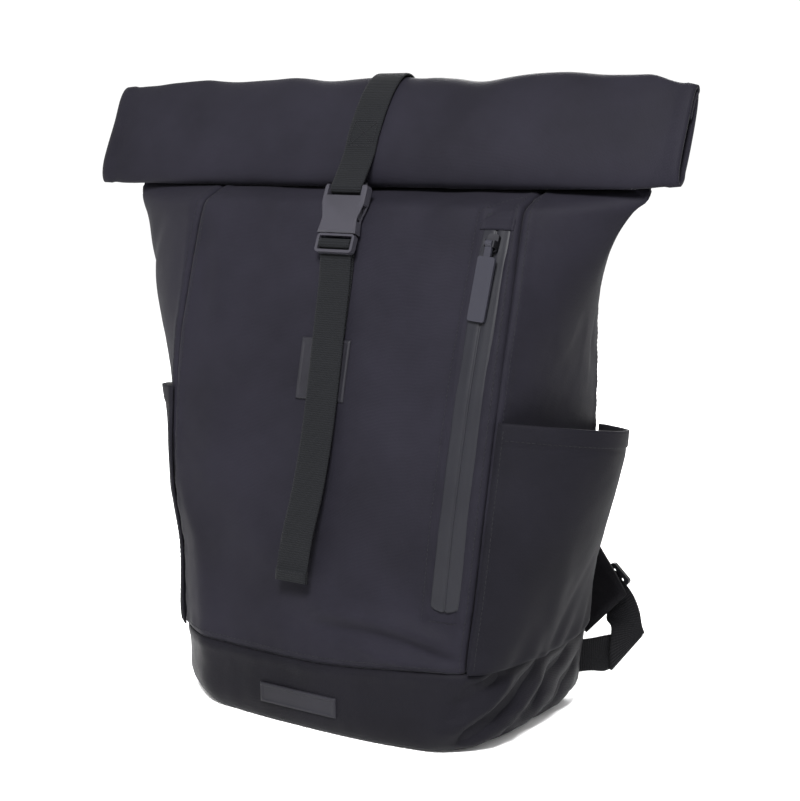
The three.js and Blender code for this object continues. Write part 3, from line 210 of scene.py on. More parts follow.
# The same monotone curves as the solids are made from
def table_column(names, rows, name):
    key = [row[0] for row in rows]
    value = [row[names.index(name)] for row in rows]
    slope = [(value[i + 1] - value[i]) / (key[i + 1] - key[i]) for i in range(len(key) - 1)]
    tangent = []
    for i in range(len(key)):
        if i == 0:
            tangent.append(slope[0])
        elif i == len(key) - 1:
            tangent.append(slope[-1])
        else:
            before, after = slope[i - 1], slope[i]
            tangent.append(0.0 if before * after <= 0 else 2 * before * after / (before + after))

    def read(at):
        x = min(max(at, key[0]), key[-1])
        i = 0
        while i < len(key) - 2 and x > key[i + 1]:
            i += 1
        span = key[i + 1] - key[i]
        t = (x - key[i]) / span
        rise = value[i] * (1 + 2 * t) * (1 - t) ** 2 + value[i + 1] * t * t * (3 - 2 * t)
        return rise + span * (tangent[i] * t * (1 - t) ** 2 + tangent[i + 1] * t * t * (t - 1))

    return read


def table_reader(names, rows):
    columns = {name: table_column(names, rows, name) for name in names[1:]}
    return lambda at: {name: curve(at) for name, curve in columns.items()}


read_section = table_reader(SECTION_COLUMNS, SECTION_ROWS)
read_roll = table_reader(ROLL_COLUMNS, ROLL_ROWS)
read_pad = table_reader(PAD_COLUMNS, PAD_ROWS)


def section_at(z):
    share = z / NECK_HEIGHT
    row = read_section(share)
    neck = float(smooth((share - 0.981) / 0.019))
    half = NECK_HALF_GAP + BODY_WALL
    return {
        "front_half": row["front_half"] * FRONT_HALF_WIDTH,
        "back_half": row["back_half"] * BACK_HALF_WIDTH,
        "front": lerp(-row["front"] * FRONT_REACH, NECK_SHIFT - half, neck),
        "back": lerp(row["back"] * BACK_REACH, NECK_SHIFT + half, neck),
        "bow": row["bow"] * FRONT_BOW,
        "back_bow": BACK_BOW * (1 - neck) * row["back"],
        "power": row["front_power"],
        "fold": row["fold"],
        "flare": {"right": row["flare_right"] * NECK_FLARE, "left": row["flare_left"] * NECK_FLARE},
        "round": {"right": row["round_right"] * FRONT_HALF_WIDTH,
                  "left": row["round_left"] * FRONT_HALF_WIDTH},
        "yaw": row["yaw"] * NECK_YAW,
    }


# Share of a rounded corner over which it eases into the panel's own curve
CORNER_EASE = 0.55


def panel_raw(section, name, shares):
    """Outline points of one panel with sharp corners. The shares may be an array."""
    shares = np.asarray(shares, float)
    if name == "front":
        s = 2 * shares - 1
        x = section["front_half"] * s
        y = section["front"] - section["bow"] * (1 - np.abs(s) ** section["power"])
    elif name == "back":
        s = 2 * shares - 1
        x = -section["back_half"] * s
        y = section["back"] + section["back_bow"] * (1 - s * s)
    else:
        along = shares if name == "right" else 1 - shares
        q = 2 * along - 1
        out = lerp(section["front_half"], section["back_half"], along)
        out = out + section["flare"][name] * (1 - np.abs(q) ** section["fold"])
        x = out if name == "right" else -out
        y = lerp(section["front"], section["back"], along)
    return np.stack([x * np.ones_like(shares), y * np.ones_like(shares)], -1)


def unit(vector):
    return vector / max(np.linalg.norm(vector), 1e-9)


def panel_points(z, name, shares):
    """Points of one panel's outline at height z, corners rounded, as (x, y)."""
    section = section_at(z)
    points = panel_raw(section, name, shares)
    front_step, side_step = 0.05, 0.12
    corners = (
        ("front", 1 - front_step, "right", side_step, section["round"]["right"]),
        ("left", 1 - side_step, "front", front_step, section["round"]["left"]),
    )
    for a, a_next, b, b_next, radius in corners:
        if name not in (a, b) or radius < 1:
            continue
        at = panel_raw(section, a, [1.0])[0]
        along_a = unit(panel_raw(section, a, [a_next])[0] - at)
        along_b = unit(panel_raw(section, b, [b_next])[0] - at)
        near_way, far_way = (along_a, along_b) if name == a else (along_b, along_a)
        distance = np.linalg.norm(points - at, axis=1)
        q = (0.5 + 0.5 * distance / radius)[:, None]
        near, far = at + near_way * radius, at + far_way * radius
        rounded = (1 - q) ** 2 * far + 2 * q * (1 - q) * at + q * q * near
        share = smooth((1 - distance / radius) / CORNER_EASE)[:, None]
        points = lerp(points, rounded, share)
    points[:, 1] += section["yaw"] * points[:, 0] / (FRONT_HALF_WIDTH + NECK_FLARE)
    return points


def boot_seam(name, shares):
    shares = np.asarray(shares, float)
    rise = {"front": smooth(2 * shares - 1), "right": np.ones_like(shares), "back": 1 - shares,
            "left": np.zeros_like(shares)}[name]
    return BOOT_HEIGHT + BOOT_CORNER_RISE * rise


def panel_row(name, heights, shares):
    """Points of a panel's outline along a row whose height varies, as (x, y)."""
    low, high = heights.min(), heights.max()
    t = ((heights - low) / max(high - low, 1e-9))[:, None]
    return lerp(panel_points(low, name, shares), panel_points(high, name, shares), t)


# Grids of points are arrays of rows, columns and x, y, z
def grid_normals(points):
    du = np.gradient(points, axis=1)
    dv = np.gradient(points, axis=0)
    normal = np.cross(du, dv)
    length = np.linalg.norm(normal, axis=2, keepdims=True)
    return normal / np.maximum(length, 1e-9)


def arc_lengths(points):
    """Distance along the rows and up the columns of a grid, for its UV map."""
    across = np.linalg.norm(np.diff(points, axis=1), axis=2)
    upward = np.linalg.norm(np.diff(points, axis=0), axis=2)
    u = np.concatenate([np.zeros((points.shape[0], 1)), np.cumsum(across, axis=1)], axis=1)
    v = np.concatenate([np.zeros((1, points.shape[1])), np.cumsum(upward, axis=0)], axis=0)
    u -= u.mean(axis=1, keepdims=True)
    return u, v


def edge_distances(points):
    """Distance across a grid from its middle, and the distances from each of its edges."""
    u, v = arc_lengths(points)
    return u, {"left": u - u[:, :1], "right": u[:, -1:] - u, "bottom": v, "top": v[-1:, :] - v}


def fractal(points, scale, octaves, seed):
    """Smooth noise about 0, at the points, with features of the given size in mm."""
    flat = points.reshape(-1, 3) / scale
    offset = Vector((seed * 7.3, seed * 3.1, seed * 5.7))
    out = np.array([noise.fractal(Vector(p) + offset, 0.9, 2.1, octaves) for p in flat])
    return out.reshape(points.shape[:-1])


def rumple(points, layers, seed=0.0):
    return sum(height * fractal(points, size, octaves, seed + own) for height, size, octaves, own in layers)


def ripple(points, place, wave, wander, size, seed, octaves=1):
    """Waves along a direction in the cloth that wander sideways."""
    return np.sin(place / wave + wander * fractal(points, size, octaves, seed))


def make_object(name, vertices, faces, material, uvs):
    mesh = bpy.data.meshes.new(name)
    mesh.from_pydata((np.asarray(vertices) * MM).tolist(), [], faces)
    layer = mesh.uv_layers.new(name="cloth")
    loops = np.zeros(len(mesh.loops), np.int32)
    mesh.loops.foreach_get("vertex_index", loops)
    layer.data.foreach_set("uv", np.asarray(uvs, np.float32)[loops].ravel())
    mesh.materials.append(material)
    mesh.polygons.foreach_set("use_smooth", [True] * len(mesh.polygons))
    mesh.update()
    obj = bpy.data.objects.new(name, mesh)
    bpy.context.scene.collection.objects.link(obj)
    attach(obj, PACK)
    return obj


def stand_in(obj, node_name):
    """Hides the solid that a piece stands in for."""
    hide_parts(node_name)


def grid_faces(rows, columns, start=0, flip=False, wrap=False):
    faces = []
    last = columns if wrap else columns - 1
    for i in range(rows - 1):
        for j in range(last):
            k = (j + 1) % columns
            quad = (start + i * columns + j, start + i * columns + k,
                    start + (i + 1) * columns + k, start + (i + 1) * columns + j)
            faces.append(quad[::-1] if flip else quad)
    return faces


def sheet_object(name, outer, wall, material, inner=None):
    """Closed sheet of cloth: an outer grid, an inner one a wall behind it, and the edges between."""
    rows, columns = outer.shape[:2]
    if inner is None:
        inner = outer - grid_normals(outer) * wall
    u, v = arc_lengths(outer)
    uv = np.stack([u, v], -1).reshape(-1, 2)
    vertices = np.concatenate([outer.reshape(-1, 3), inner.reshape(-1, 3)])
    count = rows * columns
    faces = grid_faces(rows, columns) + grid_faces(rows, columns, count, flip=True)
    for j in range(columns - 1):
        faces.append((j, j + count, j + 1 + count, j + 1))
        top = (rows - 1) * columns + j
        faces.append((top, top + 1, top + 1 + count, top + count))
    for i in range(rows - 1):
        left = i * columns
        faces.append((left, left + columns, left + columns + count, left + count))
        right = left + columns - 1
        faces.append((right, right + count, right + columns + count, right + columns))
    return make_object(name, vertices, faces, material, np.concatenate([uv, uv]))


# Materials
def new_material(name):
    material = bpy.data.materials.new(name)
    material.use_nodes = True
    tree = material.node_tree
    shader = next(n for n in tree.nodes if n.type == "BSDF_PRINCIPLED")
    return material, tree, shader


def fill(tree, made, values, sources):
    """Sets a node's inputs, and links others to what feeds them."""
    for key, value in values.items():
        made.inputs[key].default_value = value
    for key, source in sources.items():
        tree.links.new(source, made.inputs[key])


def node(tree, kind, values={}, sources={}, **settings):
    made = tree.nodes.new(kind)
    for key, value in settings.items():
        setattr(made, key, value)
    fill(tree, made, values, sources)
    return made


# Places of a colour mix's factor, its two colours and its result
MIX_FACTOR, MIX_A, MIX_B, MIX_RESULT = 0, 6, 7, 2
# Scale of the wave texture that gives one thread a millimetre
WAVE_SCALE = 0.31
# Pitch of the webbing's lengthwise threads
WARP_PITCH = 1.1


def spread(tree, source, low, high, to_low=0.0, to_high=1.0):
    """The source's values from low to high, spread over another range."""
    span = {"From Min": low, "From Max": high, "To Min": to_low, "To Max": to_high}
    return node(tree, "ShaderNodeMapRange", span, {"Value": source}).outputs["Result"]


def ramp(tree, source, low, high, color_low, color_high):
    colors = {MIX_A: (*color_low, 1), MIX_B: (*color_high, 1)}
    factor = {MIX_FACTOR: spread(tree, source, low, high)}
    return node(tree, "ShaderNodeMix", colors, factor, data_type="RGBA").outputs[MIX_RESULT]


def tint(color, share):
    return tuple(c * share for c in color)


def threads(tree, uv, axis, pitch, distortion, detail=2.0, detail_scale=1.0):
    values = {"Scale": WAVE_SCALE / pitch, "Distortion": distortion, "Detail": detail,
              "Detail Scale": detail_scale}
    return node(tree, "ShaderNodeTexWave", values, {"Vector": uv}, wave_type="BANDS",
                bands_direction=axis).outputs["Fac"]


def grain(tree, place, scale, detail, roughness=0.5):
    values = {"Scale": scale, "Detail": detail, "Roughness": roughness}
    return node(tree, "ShaderNodeTexNoise", values, {"Vector": place}).outputs["Fac"]


def combine(tree, operation, values, sources):
    return node(tree, "ShaderNodeMath", values, sources, operation=operation).outputs["Value"]


def relief(tree, height, strength, distance):
    values = {"Strength": strength, "Distance": distance}
    return node(tree, "ShaderNodeBump", values, {"Height": height}).outputs["Normal"]


def woven_cloth(name, color, pitch=0.9, roughness=0.62, sheen=0.012, depth=0.3, mottle=0.2, gloss=0.04):
    """Coated plain weave: crossed threads, slight slubs, soft mottling in colour and shine, and painted shade
    in the hollows between threads with a painted highlight on their crowns.
    """
    material, tree, shader = new_material(name)
    uv = node(tree, "ShaderNodeUVMap", uv_map="cloth").outputs["UV"]
    where = node(tree, "ShaderNodeTexCoord").outputs["Object"]
    warp, weft = (threads(tree, uv, axis, pitch, 0.35, 1.0, 0.4) for axis in ("X", "Y"))
    weave = combine(tree, "MULTIPLY", {}, {0: warp, 1: weft})
    slub = grain(tree, uv, 0.55, 3.0)
    height = combine(tree, "MULTIPLY_ADD", {1: 0.7}, {0: slub, 2: weave})
    patch = grain(tree, where, 11.0, 5.0, 0.6)
    base = ramp(tree, patch, 0.35, 0.65, tint(color, 1 - mottle), tint(color, 1 + mottle))
    # Painted shade and highlight: the weave's height darkens the colour in the hollows between threads and
    # lightens it on their crowns and slubs.
    shade = {MIX_A: base, MIX_B: spread(tree, height, 0.0, 1.0, 0.86, 1.12)}
    weave_shaded = node(tree, "ShaderNodeMix", {MIX_FACTOR: 1.0}, shade, data_type="RGBA", blend_type="MULTIPLY")
    fill(tree, shader, {"Specular IOR Level": gloss, "Sheen Weight": sheen, "Sheen Roughness": 0.45},
         {"Base Color": weave_shaded.outputs[MIX_RESULT],
          "Normal": relief(tree, height, depth, 0.0004),
          "Roughness": spread(tree, patch, 0.3, 0.7, roughness - 0.06, roughness + 0.08)})
    return material


def webbing_cloth(name, color, pitch=1.45):
    """Ribbed tape: slightly wavering ribs across it, with painted shade between them and a painted highlight
    on them, and fine threads along it.
    """
    material, tree, shader = new_material(name)
    uv = node(tree, "ShaderNodeUVMap", uv_map="cloth").outputs["UV"]
    rib = threads(tree, uv, "Y", pitch, 0.6, 2.0, 1.2)
    warp = threads(tree, uv, "X", WARP_PITCH, 0.4)
    height = combine(tree, "MULTIPLY_ADD", {1: 0.5}, {0: warp, 2: rib})
    fill(tree, shader, {"Roughness": 0.7, "Specular IOR Level": 0.05, "Sheen Weight": 0.03},
         # Painted shade and highlight: the ribs' height darkens the colour between them and lightens it on
         # their tops.
         {"Base Color": ramp(tree, height, 0.1, 1.2, tint(color, 0.55), tint(color, 1.25)),
          "Normal": relief(tree, height, 0.55, 0.0005)})
    return material


def moulded(name, color, roughness=0.42, pits=0.12, edge=1.35, gloss=0.16):
    """Moulded surface: fine grain, edges rubbed a little paler, and uneven shine."""
    material, tree, shader = new_material(name)
    where = node(tree, "ShaderNodeTexCoord").outputs["Object"]
    pointed = node(tree, "ShaderNodeNewGeometry").outputs["Pointiness"]
    scuff = grain(tree, where, 90.0, 4.0)
    fill(tree, shader, {"Specular IOR Level": gloss},
         {"Base Color": ramp(tree, pointed, 0.49, 0.56, color, tint(color, edge)),
          "Normal": relief(tree, grain(tree, where, 1400.0, 3.0), pits, 0.0002),
          "Roughness": spread(tree, scuff, 0.0, 1.0, roughness - 0.08, roughness + 0.12)})
    return material


CLOTH = woven_cloth("body_cloth", (0.0060, 0.0056, 0.0084))
BOOT_CLOTH = woven_cloth("boot_cloth", (0.0036, 0.0034, 0.0048), pitch=1.1, roughness=0.5, sheen=0.016,
                         depth=0.35, gloss=0.034)
POCKET_CLOTH = woven_cloth("pocket_cloth", (0.0042, 0.0040, 0.0056), roughness=0.64, sheen=0.008, gloss=0.03)
PAD_CLOTH = woven_cloth("pad_cloth", (0.0040, 0.0038, 0.0048), pitch=1.4, roughness=0.75, depth=0.5)
TAPE_CLOTH = woven_cloth("tape_laminate", (0.0066, 0.0067, 0.0088), pitch=0.7, roughness=0.42, sheen=0.0,
                         depth=0.1, mottle=0.08, gloss=0.12)
LABEL_CLOTH = woven_cloth("label_patch", (0.0084, 0.0082, 0.0106), pitch=0.6, roughness=0.5, sheen=0.0,
                          depth=0.15, gloss=0.1)
WEBBING = webbing_cloth("webbing", (0.0034, 0.0037, 0.0045))
DARK_WEBBING = webbing_cloth("strap_webbing", (0.0028, 0.0028, 0.0035))
PLASTIC = moulded("buckle_plastic", (0.0135, 0.0130, 0.0165), roughness=0.36)
DARK_PLASTIC = moulded("dark_plastic", (0.0050, 0.0050, 0.0062), roughness=0.4)
PULLER_RUBBER = moulded("puller_rubber", (0.0082, 0.0082, 0.0116), roughness=0.5, pits=0.2)
METAL = moulded("slider_metal", (0.030, 0.030, 0.034), roughness=0.34, pits=0.05)
METAL.node_tree.nodes["Principled BSDF"].inputs["Metallic"].default_value = 1.0
THREAD = moulded("thread", (0.0030, 0.0030, 0.0040), roughness=0.75, pits=0.3)


# Body panels
# Folds pressed into the cloth: a line from one place to another, in mm along the panel from its middle
# and in height, with its half width, its rise out of the cloth and how far it bows sideways. The boot's
# are on its right-hand side, with y in place of the distance along the panel.
FOLD_COLUMNS = ("panel", "from_across", "from_z", "to_across", "to_z", "half_width", "rise", "bow")
FOLD_ROWS = (
    ("front", 10, 84, 114, 74, 7, 4.4, 6),
    ("front", 24, 74, 120, 64, 4, -2.6, 5),
    ("front", 44, 66, 124, 60, 4, 2.8, -2),
    ("front", -30, 62, 60, 58, 9, 1.2, 3),
    ("front", 44, 205, 86, 108, 18, 2.6, 8),
    ("front", -66, 250, -92, 150, 22, 2.4, -8),
    ("front", 20, 300, 74, 210, 18, -1.4, 10),
    ("front", -112, 350, -100, 270, 10, 1.8, 4),
    ("front", -60, 352, -20, 300, 14, -1.4, -5),
    ("front", 70, 350, 60, 290, 12, 1.2, 5),
    ("front", -60, 130, 20, 92, 18, 1.8, 8),
    ("right", -52, 350, -10, 262, 9, 2.4, 6),
    ("right", 20, 345, 42, 250, 10, -2.6, -6),
    ("right", -20, 330, 30, 240, 8, 2.0, 8),
    ("left", -30, 340, 10, 250, 10, 2.2, 8),
    ("left", 30, 330, -10, 250, 9, -2.0, -6),
    ("back", -60, 330, 40, 300, 14, 1.6, 6),
    ("back", -80, 120, 60, 100, 16, 1.4, -8),
    ("back", 30, 240, 90, 170, 16, 1.2, 8),
    ("boot", -84, 14, -38, 50, 4.5, 3.2, 0),
    ("boot", -74, 10, -24, 42, 4.0, -3.4, 0),
    ("boot", -80, 34, -52, 56, 4.0, -2.4, 0),
    ("boot", -54, 8, 6, 40, 5.0, 2.6, 0),
)


def fold_shapes(panel, across, z, overrun=0.15, ease=0.35):
    """Rise of each of a panel's folds. It runs on past its ends by a share of its length."""
    for row in FOLD_ROWS:
        fold = dict(zip(FOLD_COLUMNS, row))
        if fold["panel"] != panel:
            continue
        start = np.array([fold["from_across"], fold["from_z"]], float)
        way = np.array([fold["to_across"], fold["to_z"]], float) - start
        length = np.linalg.norm(way)
        way = way / length
        dx, dz = across - start[0], z - start[1]
        along = (dx * way[0] + dz * way[1]) / length
        off = -dx * way[1] + dz * way[0]
        off = off - fold["bow"] * np.sin(np.pi * np.clip(along, 0, 1))
        taper = smooth((along + overrun) / ease) * smooth((1 + overrun - along) / ease)
        yield fold["rise"] * bump(off / fold["half_width"]) * taper


def calm_places(panel, across, z):
    """0 where something is sewn on or passes close, 1 where the cloth moves freely."""
    if panel == "front":
        near_zip = bump((across - zip_centre(z)) / 15) * smooth((z - 84) / 12)
        near_strap = bump((across - STRAP_X) / 17) * smooth((z - 90) / 16)
        return 1 - np.clip(near_zip + near_strap, 0, 1)
    if panel == "back":
        near_pads = np.clip(bump((np.abs(across) - PAD_TOP_X) / 34) + bump(across / 16), 0, 1)
        return 1 - 0.85 * near_pads * smooth((z - 210) / 60)
    return np.ones_like(across)


# Cloth that frames the zip: its rise, and where it starts and ends beside the zip's middle
WELT_RISE = 1.9
WELT_FROM = 8.6
WELT_TO = 17


def zip_welt(x, z):
    """Rise of the cloth that frames the zip and hides the edges of its tape."""
    off = np.abs(x - zip_centre(z))
    ends = smooth((z - ZIP_BOTTOM_Z + 9) / 6) * smooth((ZIP_TOP_Z + 8 - z) / 5)
    return WELT_RISE * smooth((off - WELT_FROM) / 1.6) * smooth((WELT_TO - off) / 6) * ends


def zip_centre(z):
    share = (z - ZIP_BOTTOM_Z) / (ZIP_TOP_Z - ZIP_BOTTOM_Z)
    return FRONT_HALF_WIDTH - lerp(ZIP_BOTTOM_INSET, ZIP_TOP_INSET, share)


# The left seam leaves the corner at this height and reaches this share of the front at the neck
SEAM_LEAVES_Z = 258.0
SEAM_SHIFT = 0.052


def path_lengths(points):
    return np.concatenate([[0], np.cumsum(np.linalg.norm(np.diff(points, axis=0), axis=1))])


def read_along(values, length, at):
    """Three columns of values given along a path, read at one distance along it."""
    return np.array([np.interp(at, length, values[:, i]) for i in range(3)])


def even_row(points, columns):
    """The same line through the points, with a set number of evenly spaced ones."""
    length = path_lengths(points)
    at = np.linspace(0, length[-1], columns)
    return np.stack([np.interp(at, length, points[:, i]) for i in range(points.shape[1])], -1)


def panel_grid(name, columns, rows):
    """Smooth grid of one panel's outer face, from the boot seam to the neck."""
    shares = np.linspace(0, 1, columns)
    seam = boot_seam(name, shares) + SEAM_GAP
    points = np.zeros((rows, columns, 3))
    for i, level in enumerate(np.linspace(0, 1, rows)):
        heights = lerp(seam, NECK_HEIGHT, level)
        low = heights.min()
        climb = float(np.clip((low - SEAM_LEAVES_Z) / (NECK_HEIGHT - SEAM_LEAVES_Z), 0, 1))
        seam_share = SEAM_SHIFT * climb
        if name == "left":
            corner = panel_points(low, "front", np.linspace(0, seam_share, 12)[1:])
            side = panel_points(low, name, np.linspace(0, 1, 90))
            line = np.concatenate([side, corner]) if seam_share > 1e-4 else side
            points[i, :, :2] = even_row(line, columns)
        else:
            across = lerp(seam_share, 1, shares) if name == "front" else shares
            points[i, :, :2] = panel_row(name, heights, across)
        points[i, :, 2] = heights
    return points


# Puckers, swellings and grooves at the panels' side seams and at their foot
SIDE_PUCKER, FOOT_PUCKER = 0.35, 0.3
SIDE_SWELL, FOOT_SWELL = 0.7, 0.6
SIDE_GROOVE, FOOT_GROOVE = 1.5, 1.4
# The side panels rise no further than this, and lie flat towards the neck
GUSSET_RISE = 0.6
GUSSET_FADE = 30


def panel_cloth(panel, piece, node_name, columns, rows, seed):
    points = panel_grid(panel, columns, rows)
    normal = grid_normals(points)
    across, edge = edge_distances(points)
    left, right, bottom = edge["left"], edge["right"], edge["bottom"]
    z = points[..., 2]
    calm = calm_places(panel, points[..., 0] if panel == "front" else across, z)
    rise = rumple(points, PANEL_RUMPLE, seed)
    rise += sum(fold_shapes(panel, across, z))
    pucker = SIDE_PUCKER * ripple(points, z, 2.6, 3, 60, seed + 2) * (bump(left / 9) + bump(right / 9))
    pucker += FOOT_PUCKER * ripple(points, across, 2.4, 2, 50, seed + 3) * bump(bottom / 9)
    rise = (rise + pucker) * calm
    if panel == "front":
        rise += zip_welt(points[..., 0], z)
    elif panel != "back":
        rise = np.minimum(rise, GUSSET_RISE) * smooth((NECK_HEIGHT - z) / GUSSET_FADE)
    side = np.minimum(left, right)
    side_swell = SIDE_SWELL * bump((side - SWELL_AT) / SWELL_WIDTH)
    rise += side_swell + FOOT_SWELL * bump((bottom - SWELL_AT) / SWELL_WIDTH)
    rise *= smooth(side / 6 + 0.15) * smooth(bottom / 6 + 0.15)
    rise -= SIDE_GROOVE * bump(side / GROOVE_WIDTH) + FOOT_GROOVE * bump(bottom / GROOVE_WIDTH)
    points = points + normal * rise[..., None]
    stand_in(sheet_object(piece, points, BODY_WALL, CLOTH), node_name)
    return points


# Panel, piece, solid, columns and rows of its grid, and seed
PANELS = (
    ("front", "front_cloth", "front_panel", 110, 128, 1.0),
    ("back", "back_cloth", "back_panel", 92, 104, 2.0),
    ("right", "side_cloth_right", "side_panel_right", 72, 110, 3.0),
    ("left", "side_cloth_left", "side_panel_left", 72, 110, 4.0),
)
cloth_points = {row[0]: panel_cloth(*row) for row in PANELS}
front_rows, front_columns = cloth_points["front"].shape[:2]
FRONT_TREE = BVHTree.FromPolygons(cloth_points["front"].reshape(-1, 3).tolist(),
                                  grid_faces(front_rows, front_columns))
FAR = 400


def front_at(x, z):
    """y and normal of the front cloth at a place seen from the front."""
    place, normal, _, _ = FRONT_TREE.ray_cast(Vector((x, -FAR, z)), Vector((0, 1, 0)))
    return place.y, normal


# Boot
# Panels round the boot, with the points along each
BOOT_PANELS = {"front": 92, "right": 60, "back": 74, "left": 60}


def boot_rings():
    """Closed rings of points: the floor, the turn up to the wall, and the wall up to its seam."""
    rings = []
    for level in np.linspace(1, 0, 15):
        parts = []
        for name, count in BOOT_PANELS.items():
            shares = np.linspace(0, 1, count + 1)[:-1]
            heights = lerp(BOOT_ROUND, boot_seam(name, shares), level)
            parts.append(np.column_stack([panel_row(name, heights, shares), heights]))
        rings.append(np.concatenate(parts))
    wall_foot = rings[-1]
    for angle in (15, 30, 45, 60, 75, 90):
        tuck = 1 - math.cos(math.radians(angle))
        drop = math.sin(math.radians(angle))
        forward = np.where(wall_foot[:, 1] < 0, BOOT_FRONT_TUCK, 0.0)
        ring = wall_foot.copy()
        ring[:, 0] *= 1 - tuck * BOOT_SIDE_TUCK / FRONT_HALF_WIDTH
        ring[:, 1] *= 1 - tuck * forward / FRONT_REACH
        ring[:, 2] = BOOT_ROUND * (1 - drop)
        rings.append(ring)
    floor_edge = rings[-1]
    for share in (0.9, 0.6, 0.3, 0.03):
        ring = floor_edge * share
        ring[:, 2] = 0.0
        rings.append(ring)
    return np.array(rings)[::-1].copy()


# Place of the seam down the boot's front right-hand corner, its depth and the swelling beside it
CORNER_SEAM = (127.0, -82.0)
CORNER_DEPTH = 1.6
CORNER_SWELL = 0.8
# Crumpled cloth on the right-hand side: height of its ridges, drop of its hollows, and its ends in y
CRUMPLE_RISE = 4.6
CRUMPLE_DROP = 3.2
CRUMPLE_FRONT = -84
CRUMPLE_BACK = 72
BOOT_SWELL = 0.6
BOOT_GROOVE = 1.2
BOOT_CORNER_X = 100


def boot_object():
    rings = boot_rings()
    rows, columns = rings.shape[:2]
    padded = np.concatenate([rings[:, -1:], rings, rings[:, :1]], axis=1)
    normal = grid_normals(padded)[:, 1:-1]
    flip = np.sign(np.sum(normal[-1, :, :2] * rings[-1, :, :2]))
    normal *= flip
    y, z = rings[..., 1], rings[..., 2]
    below = rings[-1, :, 2] - z
    wall = smooth(z / 10)
    side_right = np.repeat([name == "right" for name in BOOT_PANELS], list(BOOT_PANELS.values()))
    rise = rumple(rings, BOOT_RUMPLE) * wall
    slant = (y * 0.8 - z * 1.3) / 12.5 + 1.1 * fractal(rings, 45, 2, 8.0)
    crumple = CRUMPLE_RISE * np.abs(np.sin(slant)) ** 0.8 - CRUMPLE_DROP
    ends = smooth((y - CRUMPLE_FRONT) / 14) * smooth((CRUMPLE_BACK - y) / 18)
    rise += side_right * crumple * wall * smooth(below / 7) * ends
    for fold in fold_shapes("boot", y, z, 0.1, 0.3):
        rise += (rings[..., 0] > BOOT_CORNER_X) * fold
    corner = np.hypot(rings[..., 0] - CORNER_SEAM[0], y - CORNER_SEAM[1] - 0.12 * z)
    rise -= CORNER_DEPTH * bump(corner / 2.2) * wall
    rise += CORNER_SWELL * bump((corner - 6) / 3) * wall
    rise *= smooth(below / 5 + 0.1)
    rise += BOOT_SWELL * bump((below - SWELL_AT) / 3) - BOOT_GROOVE * bump(below / GROOVE_WIDTH)
    outer = rings + normal * rise[..., None]
    outer[..., 2] = np.maximum(outer[..., 2], 0.0)
    inner = rings - normal * BODY_WALL
    inner[..., 2] = np.where(z < 1, BODY_WALL, inner[..., 2])
    around = np.diff(np.concatenate([rings, rings[:, :1]], 1), axis=1)
    upward = np.diff(rings, axis=0)
    u = np.cumsum(np.linalg.norm(around, axis=2), axis=1)
    v = np.concatenate([np.zeros((1, columns)), np.cumsum(np.linalg.norm(upward, axis=2), axis=0)])
    uv = np.stack([np.repeat(u[-1:], rows, 0), v], -1).reshape(-1, 2)
    count = rows * columns
    vertices = np.concatenate([outer.reshape(-1, 3), inner.reshape(-1, 3)])
    flipped = flip < 0
    faces = grid_faces(rows, columns, flip=flipped, wrap=True)
    faces += grid_faces(rows, columns, count, flip=not flipped, wrap=True)
    for j in range(columns):
        k = (j + 1) % columns
        a, b = (rows - 1) * columns + j, (rows - 1) * columns + k
        quad = (a, b, b + count, a + count)
        faces.append(quad[::-1] if flipped else quad)
    floor_out = tuple(range(columns))
    floor_in = tuple(count + j for j in range(columns))
    faces.append(floor_out if flipped else floor_out[::-1])
    faces.append(floor_in[::-1] if flipped else floor_in)
    obj = make_object("boot_cloth", vertices, faces, BOOT_CLOTH, np.concatenate([uv, uv]))
    stand_in(obj, "base_boot")


boot_object()


# Side pockets
# The pockets' hem, the line sewn under it, the gathers at their foot and the swelling at their sides
POCKET_HEM = 12.5
POCKET_HEM_LINE = 13
POCKET_HEM_RISE = 0.55
POCKET_GATHER = 1.2
POCKET_SWELL = 0.5


